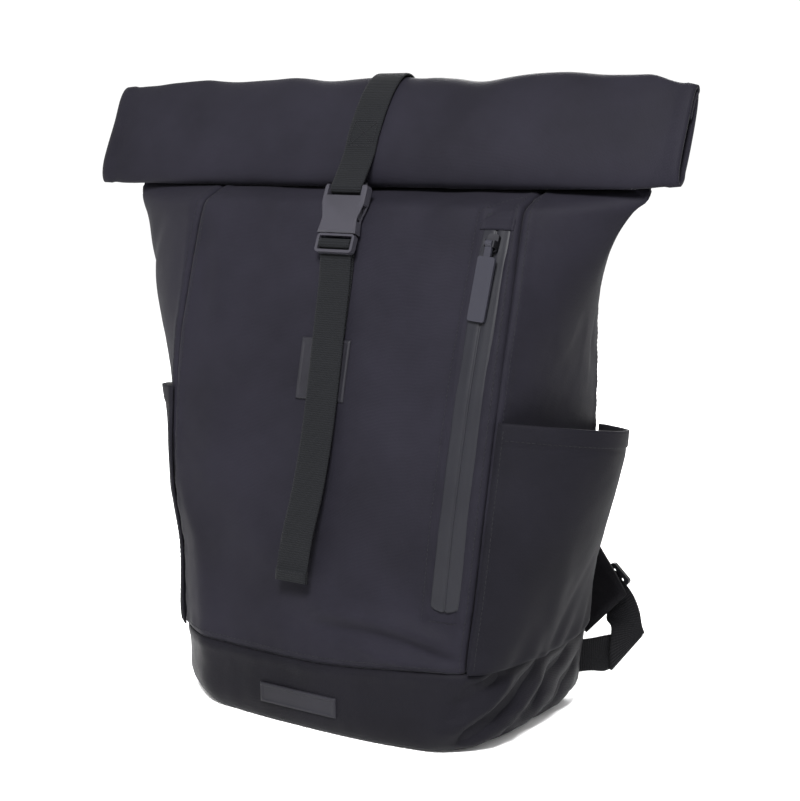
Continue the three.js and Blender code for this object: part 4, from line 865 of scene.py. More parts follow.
def pocket_cloth(side):
    columns, rows = 76, 74
    shares = np.linspace(0, 1, columns)
    mirrored = side == "left"
    share = 1 - shares if mirrored else shares
    mouth = POCKET_HEIGHT - POCKET_BACK_DROP * share
    seam = boot_seam(side, shares) + SEAM_GAP
    points = np.zeros((rows, columns, 3))
    for i, level in enumerate(np.linspace(0, 1, rows)):
        heights = lerp(seam, mouth, level)
        for j in range(columns):
            points[i, j, :2] = panel_points(heights[j], side, shares[j:j + 1])[0]
        points[i, :, 2] = heights
    normal = grid_normals(points)
    normal[..., 2] = 0
    normal /= np.linalg.norm(normal, axis=2, keepdims=True)
    points = points + normal * (POCKET_GAP + POCKET_WALL)
    level = np.linspace(0, 1, rows)[:, None]
    belly = POCKET_BULGE[side] * smooth(0.12 + 0.88 * level) ** 0.8
    belly = belly * (1 - np.abs(2 * share[None, :] ** 0.9 - 1) ** 2.2)
    points[..., 0] += -belly if mirrored else belly
    across, edge = edge_distances(points)
    left, right, bottom, top = (edge[name] for name in ("left", "right", "bottom", "top"))
    normal = grid_normals(points)
    z = points[..., 2]
    rise = rumple(points, POCKET_RUMPLE)
    rise += 1.8 * bump((across + 22 + 0.22 * (z - 130)) / 9) * smooth((150 - z) / 60)
    rise -= 1.4 * bump((across - 18 - 0.30 * (z - 120)) / 8) * smooth((140 - z) / 60)
    gather = ripple(points, across, 5.2, 1.6, 40, 13.0)
    rise += POCKET_GATHER * gather * smooth((34 - bottom) / 30) * smooth(bottom / 3)
    rise -= 0.5 * bump((top - POCKET_HEM_LINE) / 1.2)
    rise += POCKET_HEM_RISE * smooth((POCKET_HEM - top) / 1.2)
    side_edge = np.minimum(left, right)
    rise *= smooth(side_edge / 8 + 0.1)
    rise += POCKET_SWELL * bump((side_edge - 4) / 2.4) * smooth(bottom / 5)
    points = points + normal * rise[..., None]
    stand_in(sheet_object(f"pocket_cloth_{side}", points, POCKET_WALL, POCKET_CLOTH), f"side_pocket_{side}")
    return points


pocket_points = {side_name: pocket_cloth(side_name) for side_name in SIDES}


# Rolled top
# Dips in the roll's upper edge: place along it, half width and depth, all in mm
DIPS = ((-46, 22, 1.6), (26, 12, 1.4), (74, 18, 2.0), (140, 30, -0.8), (-130, 40, 0.8))


# Hems at the roll's ends: their width, the line sewn beside them, its depth and the hems' rise
ROLL_HEM = 10.5
ROLL_HEM_LINE = 11
ROLL_HEM_DEPTH = 1.3
ROLL_HEM_RISE = 0.9


def roll_point(along, angle, depth):
    row = read_roll(along)
    turns = (angle - ROLL_START) / 360
    shrink = max(0.0, turns - 0.2) * (ROLL_WALL + LAYER_GAP) * 1.2 + depth
    cos, sin = math.cos(math.radians(angle)), math.sin(math.radians(angle))
    power = 2 / ROLL_POWER
    a = (row["thick"] * ROLL_HALF_THICK - shrink) * math.copysign(abs(cos) ** power, cos)
    b = (row["height"] * ROLL_HALF_HEIGHT - shrink) * math.copysign(abs(sin) ** power, sin)
    lean = math.radians(row["lean"] * ROLL_LEAN)
    centre_y, centre_z = row["forward"] * NECK_YAW, NECK_HEIGHT + row["rise"] * ROLL_RISE
    return (centre_y + a * math.cos(lean) + b * math.sin(lean),
            centre_z - a * math.sin(lean) + b * math.cos(lean))


def roll_object():
    along = np.linspace(-1, 1, 141)
    angles = np.arange(ROLL_START, ROLL_END + 0.1, 5.0)
    neck_half = FRONT_HALF_WIDTH + NECK_FLARE
    points = np.zeros((len(angles), len(along), 3))
    for i, angle in enumerate(angles):
        blend = float(smooth((angle - ROLL_START) / 45))
        half = lerp(neck_half, ROLL_HALF_LENGTH, float(smooth((angle - ROLL_START) / 120)))
        for j, share in enumerate(along):
            y, z = roll_point(share, angle, 0.0)
            x = share * half + blend * ROLL_SHIFT
            neck_y = NECK_SHIFT + NECK_YAW * x / neck_half + ROLL_WALL / 2
            points[i, j] = (x, lerp(neck_y, y, blend), lerp(NECK_HEIGHT + SEAM_GAP, z, blend))
    normal = -grid_normals(points)
    x = points[..., 0]
    turn = angles[:, None] * np.ones_like(x)
    outside = smooth((turn - 15) / 30) * smooth((322 - turn) / 16)
    rise = rumple(points, ROLL_RUMPLE)
    rise += 0.9 * ripple(points, x, 15, 2.2, 70, 23.0, octaves=2) * bump((turn - 105) / 26)
    for at, width, deep in DIPS:
        rise -= deep * bump((x - at) / width) * bump((turn - 108) / 34)
    calm = 1 - bump((x - STRAP_X) / 16)
    end = points[:, -1:, 0] - x
    start = x - points[:, :1, 0]
    hem = np.minimum(end, start)
    rise = rise * calm
    rise -= ROLL_HEM_DEPTH * bump((hem - ROLL_HEM_LINE) / 1.2)
    rise += ROLL_HEM_RISE * smooth((ROLL_HEM - hem) / 1.5)
    rise += 0.9 * np.sin(turn / 17 + 1.0) * bump(hem / 16)
    points = points + normal * (rise * outside)[..., None]
    inner = points - normal * ROLL_WALL
    obj = sheet_object("roll_cloth", points[::-1], ROLL_WALL, CLOTH, inner=inner[::-1])
    stand_in(obj, "roll_top")


roll_object()


# Bands of webbing
def spline(stops, step):
    """Evenly spaced samples of a smooth curve through stops, each an array of numbers, x, y, z first."""
    stops = np.asarray(stops, float)
    out = []
    count = len(stops)
    for i in range(count - 1):
        p0, p1, p2, p3 = stops[max(i - 1, 0)], stops[i], stops[i + 1], stops[min(i + 2, count - 1)]
        t0, t1 = 0.0, max(np.linalg.norm(p1[:3] - p0[:3]) ** 0.5, 1e-4)
        t2 = t1 + max(np.linalg.norm(p2[:3] - p1[:3]) ** 0.5, 1e-4)
        t3 = t2 + max(np.linalg.norm(p3[:3] - p2[:3]) ** 0.5, 1e-4)
        pieces = max(int(np.linalg.norm(p2[:3] - p1[:3]) / step), 1)
        for k in range(pieces):
            t = t1 + (t2 - t1) * k / pieces
            a1 = (t1 - t) / (t1 - t0) * p0 + (t - t0) / (t1 - t0) * p1
            a2 = (t2 - t) / (t2 - t1) * p1 + (t - t1) / (t2 - t1) * p2
            a3 = (t3 - t) / (t3 - t2) * p2 + (t - t2) / (t3 - t2) * p3
            b1 = (t2 - t) / (t2 - t0) * a1 + (t - t0) / (t2 - t0) * a2
            b2 = (t3 - t) / (t3 - t1) * a2 + (t - t1) / (t3 - t1) * a3
            out.append((t2 - t) / (t2 - t1) * b1 + (t - t1) / (t2 - t1) * b2)
    out.append(stops[-1])
    return np.array(out)


# Half of a band's section: across and out, as shares of half its width and half its thickness
BAND_PROFILE = ((-1.0, 0.0), (-0.985, 0.62), (-0.94, 0.92), (-0.82, 1.0), (-0.5, 0.96), (0.0, 0.96),
                (0.5, 0.96), (0.82, 1.0), (0.94, 0.92), (0.985, 0.62), (1.0, 0.0))
BAND_STEP = 0.72
RIB_PITCH = 1.45


def band_object(name, node_name, stops, material):
    """Woven tape. Each stop is x, y, z, the width direction's x, y, z, a stretch and a thickness."""
    path = spline(stops, BAND_STEP)
    centre, across = path[:, :3], path[:, 3:6]
    across = across / np.linalg.norm(across, axis=1, keepdims=True)
    tangent = np.gradient(centre, axis=0)
    tangent /= np.maximum(np.linalg.norm(tangent, axis=1, keepdims=True), 1e-9)
    normal = np.cross(across, tangent)
    normal /= np.maximum(np.linalg.norm(normal, axis=1, keepdims=True), 1e-9)
    length = path_lengths(centre)
    ribs = 0.07 * np.sin(2 * math.pi * length / RIB_PITCH)
    lower = [(u, -v) for u, v in BAND_PROFILE[::-1][1:-1]]
    profile = np.array(list(BAND_PROFILE) + lower)
    rings = []
    for i in range(len(centre)):
        half_width = WEBBING_WIDTH / 2 * path[i, 6]
        edge = 0.12 * math.sin(2 * math.pi * length[i] / RIB_PITCH)
        half_thick = path[i, 7] / 2
        inside = (np.abs(profile[:, 0]) < 0.9) * np.sign(profile[:, 1])
        ring = centre[i] + np.outer(profile[:, 0] * (half_width + edge), across[i])
        ring = ring + np.outer(profile[:, 1] * half_thick + inside * ribs[i], normal[i])
        rings.append(ring)
    rings = np.array(rings)
    rows, columns = rings.shape[:2]
    u = np.repeat((profile[:, 0] * WEBBING_WIDTH / 2)[None], rows, 0)
    v = np.repeat(length[:, None], columns, 1)
    faces = grid_faces(rows, columns, wrap=True, flip=True)
    faces.append(tuple(range(columns)))
    faces.append(tuple((rows - 1) * columns + j for j in range(columns))[::-1])
    uv = np.stack([u, v], -1).reshape(-1, 2)
    obj = make_object(name, rings.reshape(-1, 3), faces, material, uv)
    stand_in(obj, node_name)
    return centre, normal, across, length


def node_reader(name, towards):
    """Outermost y of a solid's faces at a place, towards the front or the back."""
    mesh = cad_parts[name].data
    vertices = [v.co / MM for v in mesh.vertices]
    tree = BVHTree.FromPolygons(vertices, [tuple(p.vertices) for p in mesh.polygons])

    def read(x, z):
        place = tree.ray_cast(Vector((x, towards * FAR, z)), Vector((0, -towards, 0)))[0]
        return place.y if place else towards * 1e6

    return read


solid_front = node_reader("front_panel", -1)
solid_back = node_reader("back_panel", 1)
solid_boot_front = node_reader("base_boot", -1)
solid_boot_back = node_reader("base_boot", 1)
BUCKLE_ORIGIN = np.array([STRAP_X, solid_front(STRAP_X, BUCKLE_Z) - BUCKLE_STAND, BUCKLE_Z])
TILT = math.radians(90 - BUCKLE_LEAN)
BUCKLE_UP = np.array([0, math.cos(TILT), math.sin(TILT)])
BUCKLE_OUT = np.array([0, -math.sin(TILT), math.cos(TILT)])


def on_buckle(y, z):
    return BUCKLE_ORIGIN + BUCKLE_UP * y + BUCKLE_OUT * z


def stop(at, across=(1, 0, 0), stretch=1.0, wall=WEBBING_WALL):
    return [*at, *across, stretch, wall]


def bar_turn(bar_y, radius, start, end, steps=9):
    found = []
    for i in range(steps + 1):
        angle = math.radians(lerp(start, end, i / steps))
        found.append(stop(on_buckle(bar_y + radius * math.sin(angle), radius * math.cos(angle))))
    return found


# Drops below the neck at which the upper strap lies on the back
SEWN_DROPS = (52, 46, 40, 34, 28, 22, 18)
# Slack between a band and the bar it turns round
BAR_EASE = 0.1


def upper_strap():
    away = SEAM_GAP + WEBBING_WALL / 2
    stops = []
    half = WEBBING_WIDTH / 2
    for drop in SEWN_DROPS:
        z = NECK_HEIGHT - drop
        under = max(solid_back(STRAP_X + k * half, z) for k in (-1, 0, 1))
        stops.append(stop((STRAP_X, under + away + 2 * LAYER_GAP, z)))
    share = (STRAP_X - ROLL_SHIFT) / ROLL_HALF_LENGTH
    for angle in range(0, 211, 15):
        y, z = roll_point(share, angle, -away - 1.5 * LAYER_GAP)
        stops.append(stop((STRAP_X, y, z)))
    bar = SOCKET_LENGTH - BUCKLE_BAR / 2
    wrap = BUCKLE_BAR / 2 + SLIP_GAP + BAR_EASE + WEBBING_WALL / 2
    stops += bar_turn(bar, wrap, 30, -180)
    stops.append(stop(on_buckle(bar + 5, -wrap + 0.6)))
    return band_object("strap_upper", "closure_strap_upper", stops, WEBBING)


def lower_strap():
    away = SEAM_GAP + WEBBING_WALL / 2
    pitch = WEBBING_WALL + LAYER_GAP
    wrap = PLUG_BAR / 2 + SLIP_GAP + WEBBING_WALL / 2
    behind = PLUG_THICK / 2 + SLIP_GAP + WEBBING_WALL / 2
    anchor_z = UPPER_LABEL[3] + UPPER_LABEL[1] / 2 + 2
    anchor_top = BUCKLE_Z - 2 * PLUG_FRAME_LENGTH
    half = WEBBING_WIDTH / 2

    def panel_stop(z, off, x=STRAP_X):
        under = min(solid_front(x + k * half, z) for k in (-1, 0, 1))
        return stop((x, under - off, z))

    stops = [panel_stop(lerp(anchor_z, anchor_top, share), away) for share in (0, 0.35, 0.7, 1)]
    stops.append(stop(on_buckle(PLUG_BAR_Y - 6, -behind - pitch)))
    stops.append(stop(on_buckle(PLUG_BAR_Y - 2, -behind - 0.3 * pitch)))
    stops += bar_turn(PLUG_BAR_Y, wrap, 150, -60, 7)
    stops.append(stop(on_buckle(PLUG_BAR_Y - 3, -0.35 * behind)))
    stops.append(stop(on_buckle(PLUG_BAR_Y - 3.6, -behind)))
    stops.append(stop(on_buckle(PLUG_BAR_Y - 8.5, -behind)))
    tail_top = anchor_top - 4
    tail_bottom = tail_top - TAIL_LENGTH
    for share, sway, lift in TAIL_ROWS:
        z = lerp(tail_top, tail_bottom + HEM_LENGTH, share)
        stops.append(panel_stop(z, away + pitch + 0.2 + lift * TAIL_LIFT, STRAP_X + sway * TAIL_SWAY))
    last = stops[-1][:3]
    for drop in (0.6, HEM_LENGTH):
        stops.append(stop((last[0], last[1] - 0.1 * drop, last[2] - drop), wall=2 * WEBBING_WALL))
    return band_object("strap_lower", "closure_strap_lower", stops, WEBBING)


upper_path = upper_strap()
lower_path = lower_strap()


# Labels and zip
def patch_object(name, spot, across, up, wall, material):
    """Patch sewn on the front. spot gives x, z and the y of its face and of its underside."""
    spots = np.array([[spot(u, v) for u in across] for v in up])
    return sheet_object(name, spots[..., (0, 2, 1)], wall, material, inner=spots[..., (0, 3, 1)])


# Width of a label's border, depth of its field and rise of the ridge round it
LABEL_BORDER = 2.0
LABEL_FIELD = 0.45
LABEL_RIDGE = 0.12


def label_object(name, size, node_name, reader):
    """Bare rubberised patch: raised rounded border, pressed field and softly rounded edges."""
    width, height, cx, cz = size

    def spot(u, v):
        x, z = cx + u * width, cz + v * height
        y = reader(x, z) - LABEL_GAP
        edge = min((0.5 - abs(u)) * width, (0.5 - abs(v)) * height)
        thick = LABEL_WALL * float(smooth(edge / 0.7 + 0.25))
        thick -= LABEL_FIELD * float(smooth((edge - LABEL_BORDER) / 0.5))
        thick += LABEL_RIDGE * math.exp(-((edge - 1.5) / 0.35) ** 2)
        return x, z, y - thick, y + 0.35

    across, up = np.linspace(-0.5, 0.5, 61), np.linspace(-0.5, 0.5, 41)
    stand_in(patch_object(name, spot, across, up, LABEL_WALL, LABEL_CLOTH), node_name)


label_object("label_front", UPPER_LABEL, "front_label", solid_front)
label_object("label_base", BASE_LABEL, "base_label", solid_boot_front)

# Rounding of the zip's foot, depth of the groove where its strips meet, and rise of the coil beside it
ZIP_FOOT = 7.0
ZIP_GROOVE = 0.95
COIL_RISE = 0.22


def zip_spot(u, level):
    """Two laminated strips that meet over the coil, rounded below, on a rolled edge."""
    z = ZIP_BOTTOM_Z + level * (ZIP_TOP_Z - ZIP_BOTTOM_Z)
    end = min((z - ZIP_BOTTOM_Z) / ZIP_FOOT, 1.0)
    round_end = math.sqrt(max(1 - (1 - end) ** 2, 0.0)) * 0.55 + 0.45
    x = float(zip_centre(z)) + u * round_end * ZIP_STRIP_WIDTH / 2
    y = solid_front(x, z) - TAPE_GAP
    off = abs(u) * ZIP_STRIP_WIDTH / 2 * round_end
    edge = (1 - abs(u)) * ZIP_STRIP_WIDTH / 2 * round_end
    thick = TAPE_WALL * float(smooth(edge / 3.2 + 0.05))
    thick += COIL_RISE * math.exp(-((off - 3.2) / 2.0) ** 2)
    thick -= ZIP_GROOVE * math.exp(-(off / 0.7) ** 2)
    return x, z, y - thick, y + 0.5


zip_strips = patch_object("zip_strips", zip_spot, np.linspace(-1, 1, 41), np.linspace(0, 1, 150), TAPE_WALL,
                          TAPE_CLOTH)
stand_in(zip_strips, "zip_tape")

# Lower and upper edge of the flap over the top of the zip
GARAGE_LOW = SLIDER_Z + 8.5
GARAGE_HIGH = ZIP_TOP_Z + 3


def garage_spot(u, level):
    """Pointed flap of cloth that covers the top of the zip above its slider."""
    z = lerp(GARAGE_LOW, GARAGE_HIGH, level)
    half = (ZIP_STRIP_WIDTH / 2 + 0.8) * (1 - 0.55 * float(smooth((level - 0.35) / 0.65)))
    shift = 2.6 * float(smooth((level - 0.2) / 0.8))
    x = float(zip_centre(z)) + shift + u * half
    y = solid_front(x, z) - TAPE_GAP - TAPE_WALL
    edge = min((1 - abs(u)) * half, (z - GARAGE_LOW) + 0.2, (GARAGE_HIGH - z) + 0.2)
    thick = 0.1 + 0.7 * float(smooth(edge / 2.2)) + 0.45 * math.exp(-((z - GARAGE_LOW - 1.2) / 1.3) ** 2)
    cloth = front_at(x, z)[0]
    return x, z, min(y, cloth) - thick, max(y, cloth) + 0.4


garage = patch_object("zip_garage", garage_spot, np.linspace(-1, 1, 33), np.linspace(0, 1, 30), TAPE_WALL,
                      CLOTH)


def zip_border():
    """Line of the stitched border: up beside the zip's inner edge and over its top to the seam."""
    off = ZIP_STRIP_WIDTH / 2 + 4.5
    centre = float(zip_centre(ZIP_TOP_Z))
    reach = ZIP_TOP_INSET - 6.5
    outline = [(float(zip_centre(ZIP_BOTTOM_Z)) + reach, ZIP_BOTTOM_Z - 7)]
    outline.append((float(zip_centre(ZIP_BOTTOM_Z)) - off, ZIP_BOTTOM_Z - 7))
    for z in np.linspace(ZIP_BOTTOM_Z - 4, ZIP_TOP_Z, 120):
        outline.append((float(zip_centre(z)) - off, z))
    for share in np.linspace(0, 1, 24)[1:]:
        rise = 10 * math.sin(0.5 * math.pi * share)
        outline.append((centre - off + (off + reach) * share, ZIP_TOP_Z + rise))
    return outline


# Stitching
THREAD_SIDES = 5
# Each stitch's start and end as shares of the pitch
STITCH_START, STITCH_END = 0.14, 0.86


def stitches(name, runs, pitch=3.4, thread=0.25, rise=-0.06):
    """Rows of sewn thread. Each run is a list of (point, outward normal) along a seam."""
    vertices, faces = [], []
    turns = [2 * math.pi * m / THREAD_SIDES for m in range(THREAD_SIDES)]
    for run in runs:
        places = np.array([p for p, _ in run], float)
        normals = np.array([n for _, n in run], float)
        length = path_lengths(places)
        for k in range(int(length[-1] / pitch)):
            a, b = (k + STITCH_START) * pitch, (k + STITCH_END) * pitch
            ends = []
            for at in (a, (a + b) / 2, b):
                ends.append((read_along(places, length, at), unit(read_along(normals, length, at))))
            way = unit(ends[2][0] - ends[0][0])
            start = len(vertices)
            for at, (place, normal) in enumerate(ends):
                side = unit(np.cross(way, normal))
                lift = rise + (thread * 0.5 if at == 1 else -thread * 0.35)
                for turn in turns:
                    out = normal * (lift + thread * math.cos(turn))
                    vertices.append(place + out + side * thread * math.sin(turn))
            faces += grid_faces(len(ends), THREAD_SIDES, start, wrap=True)
            faces.append(tuple(start + m for m in range(THREAD_SIDES))[::-1])
            faces.append(tuple(start + 2 * THREAD_SIDES + m for m in range(THREAD_SIDES)))
    uv = np.array([(v[0], v[2]) for v in vertices])
    make_object(name, vertices, faces, THREAD, uv)


def inset_run(points, edge, inset):
    """Points and normals along the line a set distance in from one edge of a grid."""
    field = edge_distances(points)[1][edge]
    normal = grid_normals(points)
    if edge in ("bottom", "top"):
        points, normal, field = points.swapaxes(0, 1), normal.swapaxes(0, 1), field.T
    if edge in ("right", "top"):
        points, normal, field = points[:, ::-1], normal[:, ::-1], field[:, ::-1]
    found = []
    for line, ways, distance in list(zip(points, normal, field))[1:-1]:
        k = min(max(int(np.searchsorted(distance, inset)), 1), len(distance) - 1)
        t = (inset - distance[k - 1]) / max(distance[k] - distance[k - 1], 1e-6)
        found.append((lerp(line[k - 1], line[k], t), ways[k]))
    return found


def front_line(places):
    found = []
    for x, z in places:
        y, normal = front_at(x, z)
        found.append((np.array([x, y, z]), np.array(normal)))
    return found


# Panel, edge and inset of the sewn rows
BODY_ROWS = (("front", "right", 5.5), ("front", "left", 5.5), ("front", "bottom", 5.5),
             ("back", "left", 5.5), ("back", "right", 5.5), ("back", "bottom", 5.5),
             ("right", "left", 5.0), ("right", "right", 5.0), ("left", "left", 5.0), ("left", "right", 5.0))
POCKET_ROWS = (("top", 11.0), ("left", 4.0), ("right", 4.0))
stitches("stitching_body",
         [inset_run(cloth_points[panel], edge, inset) for panel, edge, inset in BODY_ROWS])
stitches("stitching_zip", [front_line(zip_border())], pitch=3.0)
stitches("stitching_pockets",
         [inset_run(pocket_points[side_name], edge, inset)
          for side_name in SIDES for edge, inset in POCKET_ROWS])


def band_place(path, distance, offset):
    """Point and outward normal on a band's outer face, at a distance along it and an offset across."""
    centre, normal, across, length = path
    out = -unit(read_along(normal, length, distance))
    side = unit(read_along(across, length, distance))
    return read_along(centre, length, distance) + side * offset + out * WEBBING_WALL * 0.46, out


def box_runs(path, start, end, half):
    """Sewn box with a cross in it, between two distances along a band."""
    corners = [(start, -half), (start, half), (end, half), (end, -half), (start, -half)]
    lines = list(zip(corners[:-1], corners[1:])) + [(corners[0], corners[2]), (corners[1], corners[3])]
    return [[band_place(path, lerp(a[0], b[0], t), lerp(a[1], b[1], t)) for t in np.linspace(0, 1, 9)]
            for a, b in lines]


def front_of_roll(path, z):
    """Distance along the upper strap at which it passes a height on the roll's front."""
    centre, _, _, length = path
    ahead = np.where(centre[:, 1] < -14, np.abs(centre[:, 2] - z), 1e6)
    return float(length[int(np.argmin(ahead))])


# Sewn boxes on the upper strap: height of the one on the roll, half its length and half its width, then
# start, end and half width of the one on the back
ROLL_BOX_Z = 398.0
ROLL_BOX = (9, 9.5)
BACK_BOX = (3, 17, 10)
roll_box = front_of_roll(upper_path, ROLL_BOX_Z)
strap_runs = box_runs(upper_path, roll_box - ROLL_BOX[0], roll_box + ROLL_BOX[0], ROLL_BOX[1])
strap_runs += box_runs(upper_path, *BACK_BOX)
tail_end = float(lower_path[3][-1])
for hem_line in (HEM_LENGTH - 1.4, HEM_LENGTH - 3.4):
    row = [band_place(lower_path, tail_end - hem_line, offset) for offset in np.linspace(-11, 11, 9)]
    strap_runs.append([(place + out * 0.8, out) for place, out in row])
stitches("stitching_straps", strap_runs, pitch=2.2, thread=0.26, rise=0.16)


# Shoulder straps
def pad_centre(share, side):
    row = read_pad(share)
    x = side * (PAD_TOP_X + row["out"] * PAD_RUN_OUT)
    z = PAD_TOP_Z - row["down"] * PAD_RUN_DOWN
    edge = BACK_HALF_WIDTH - 2 * BODY_WALL
    middle = min(max(x, -edge + PAD_WIDTH / 2), edge - PAD_WIDTH / 2)
    half = row["width"] * PAD_WIDTH / 2
    level = max(z, BOOT_HEIGHT + BOOT_CORNER_RISE + 1)
    rest = max(solid_back(middle + k * half, level) for k in (-1, 0, 1))
    seat = lerp(rest + PAD_SEAT, BACK_REACH, row["behind"])
    return np.array([x, seat + LAYER_GAP + row["thick"] * PAD_THICK / 2 + row["behind"] * PAD_STAND_OFF, z])


def pad_axes(share, side):
    along = unit(pad_centre(min(share + 0.02, 1), side) - pad_centre(max(share - 0.02, 0), side))
    across = unit(np.cross(along, [0, 1, 0]))
    return along, across, unit(np.cross(across, along))


# Rows and columns of a pad's grid, and the rows and columns between which its top is sewn in a box
PAD_GRID_ROWS = 132
PAD_GRID_COLUMNS = 22
PAD_BOX_ROWS = (5, 14)
PAD_BOX_COLUMNS = (4, 17)
# Where a pad's face is compared with its back
PAD_PROBE = (20, 11)
# Width of a pad's rounded edge, and inset and height of its sewn channel and of its binding
PAD_CROWN = 9
PAD_CHANNEL = (8.5, 0.75)
PAD_BINDING = (2.0, 0.35)
PAD_CREASE = 0.28


def pad_object(side_name, side):
    """Foam strap in cloth: crowned faces, a bound edge, quilted channels and small cross creases."""
    rows, count = PAD_GRID_ROWS, PAD_GRID_COLUMNS
    outer_rows, inner_rows = [], []
    for i in range(rows):
        share = i / (rows - 1)
        row = read_pad(share)
        _, across, normal = pad_axes(share, side)
        middle = pad_centre(share, side)
        half_w = row["width"] * PAD_WIDTH / 2
        half_t = row["thick"] * PAD_THICK / 2
        end = min(share, 1 - share) * (PAD_RUN_DOWN + PAD_RUN_OUT)
        ends = float(smooth(end / 7 + 0.25))
        run = share * (PAD_RUN_DOWN + PAD_RUN_OUT)
        tops, bottoms = [], []
        for u in [-1 + 2 * k / (count - 1) for k in range(count)]:
            inset = (1 - abs(u)) * half_w
            crown = 0.30 + 0.70 * math.sqrt(max(1 - (1 - min(inset / PAD_CROWN, 1)) ** 2, 0))
            channel = PAD_CHANNEL[1] * math.exp(-((inset - PAD_CHANNEL[0]) / 1.5) ** 2)
            bind = PAD_BINDING[1] * math.exp(-((inset - PAD_BINDING[0]) / 1.6) ** 2)
            crease = PAD_CREASE * math.sin(run / 4.1 + 1.4 * math.sin(run / 23 + side))
            crease = crease * math.exp(-((inset - PAD_CHANNEL[0]) / 5) ** 2)
            swell = half_t * crown * ends - channel + bind + crease
            at = middle + across * (u * half_w)
            tops.append(at + normal * swell)
            bottoms.append(at - normal * swell)
        outer_rows.append(tops)
        inner_rows.append(bottoms)
    outer, inner = np.array(outer_rows), np.array(inner_rows)
    flip = np.sum(grid_normals(outer)[rows // 2, count // 2] * (outer - inner)[rows // 2, count // 2]) < 0
    if flip:
        outer, inner = outer[:, ::-1], inner[:, ::-1]
    obj = sheet_object(f"pad_{side_name}", outer, PAD_THICK, PAD_CLOTH, inner=inner)
    stand_in(obj, f"shoulder_strap_{side_name}")
    return outer if outer[PAD_PROBE][1] > inner[PAD_PROBE][1] else inner


pad_faces = [pad_object(side_name, side) for side_name, side in SIDES.items()]
pad_runs = []
for face in pad_faces:
    face_normals = grid_normals(face)
    box_columns = slice(PAD_BOX_COLUMNS[0], PAD_BOX_COLUMNS[1] + 1)
    pad_runs += [inset_run(face, "left", 4.6), inset_run(face, "right", 4.6)]
    pad_runs += [list(zip(face[row, box_columns], face_normals[row, box_columns])) for row in PAD_BOX_ROWS]
    for turned in (False, True):
        cross = []
        for share in np.linspace(0, 1, 14):
            i = int(round(lerp(*PAD_BOX_ROWS, share)))
            j = int(round(lerp(*PAD_BOX_COLUMNS, 1 - share if turned else share)))
            cross.append((face[i, j], np.array([0.0, 1.0, 0.1])))
        pad_runs.append(cross)
pad_runs = [[(place, out if out[1] > 0 else -out) for place, out in run] for run in pad_runs]
stitches("stitching_pads", pad_runs, pitch=3.2)


def lock_frame(side):
    share = 1 - LOCK_INSET / (PAD_RUN_DOWN + PAD_RUN_OUT)
    along, _, _ = pad_axes(1, side)
    up = -unit(np.array([along[0], 0, along[2]]))
    out = np.array([0.0, 1.0, 0.0])
    across = unit(np.cross(up, out))
    centre = pad_centre(share, side) + up * LOCK_INSET
    centre = centre + across * LOCK_OFFSET * (1 if across[0] * side > 0 else -1)
    centre[1] = BACK_REACH + PAD_STAND_OFF + PAD_THICK + 3 * LAYER_GAP + WEBBING_WALL + LOCK_THICK / 2
    return centre, across, up, out


def strap_webbing(side_name, side):
    centre, across, up, out = lock_frame(side)

    def to_world(y, z):
        return centre + up * y + out * z

    under = -(LOCK_THICK / 2 + LAYER_GAP + WEBBING_WALL / 2)
    wrap = LOCK_BAR / 2 + SLIP_GAP + BAR_EASE + WEBBING_WALL / 2
    half = LOCK_LENGTH / 2
    slot_end = LOCK_BAR / 2 + LOCK_SLOT
    weave = [(half + ADJUSTER_TAIL, under), (half + ADJUSTER_TAIL / 2, under), (half + 2, under),
             (slot_end, under), (wrap + 0.5, 0.4 * under)]
    for angle in (0, 30, 60, 90, 120, 150, 180):
        weave.append((wrap * math.cos(math.radians(angle)), wrap * math.sin(math.radians(angle))))
    weave += [(-wrap - 0.5, 0.4 * under), (-slot_end, under), (-half - 3, under)]
    stops = [stop(to_world(y, z), across) for y, z in weave]
    levels = [FOLD_HEIGHT + k * WEBBING_WIDTH / 2 for k in (-1, 0, 1)]
    sewn_y = max(solid_boot_back(side * SEWN_X, level) for level in levels) + SEAM_GAP + WEBBING_WALL / 2
    sewn = np.array([side * SEWN_X, sewn_y, FOLD_HEIGHT])
    last = to_world(-half - 3, under)
    fold = np.array([sewn[0] + side * FOLD_OUT, sewn[1] + FOLD_BACK, FOLD_HEIGHT])
    run = unit((fold - sewn) * np.array([1, 1, 0]))
    face = unit(np.cross(run, [0, 0, 1])) * side
    turn = -1 if np.dot(across, run) < 0 else 1
    leg_across = run * turn
    leg_top = fold + np.array([0, 0, WEBBING_WIDTH * 0.75])
    mixed = unit(lerp(across, leg_across, 0.5))
    stops.append(stop(lerp(last, leg_top, 0.5), mixed))
    stops.append(stop(leg_top, leg_across))
    crease = unit(run + np.array([0, 0, 1])) * turn
    outward = unit(run - np.array([0, 0, 1]))
    radius = (WEBBING_WALL + LAYER_GAP) / 2
    for angle in (-60, -20, 20, 60):
        at = fold - face * radius * math.sin(math.radians(angle))
        at = at + outward * radius * math.cos(math.radians(angle))
        stops.append(stop(at, crease, math.sqrt(2)))
    for share in (0.45, 0.75, 1):
        at = lerp(fold, sewn, share) - face * radius * (1 - share)
        stops.append(stop(at, (0, 0, turn)))
    band_object(f"adjuster_webbing_{side_name}", f"strap_webbing_{side_name}", stops, DARK_WEBBING)


for side_name, side in SIDES.items():
    strap_webbing(side_name, side)


# Moulded pieces
EDGE_WIDTH = 0.25
EDGE_STEPS = 3
EDGE_ANGLE = 35


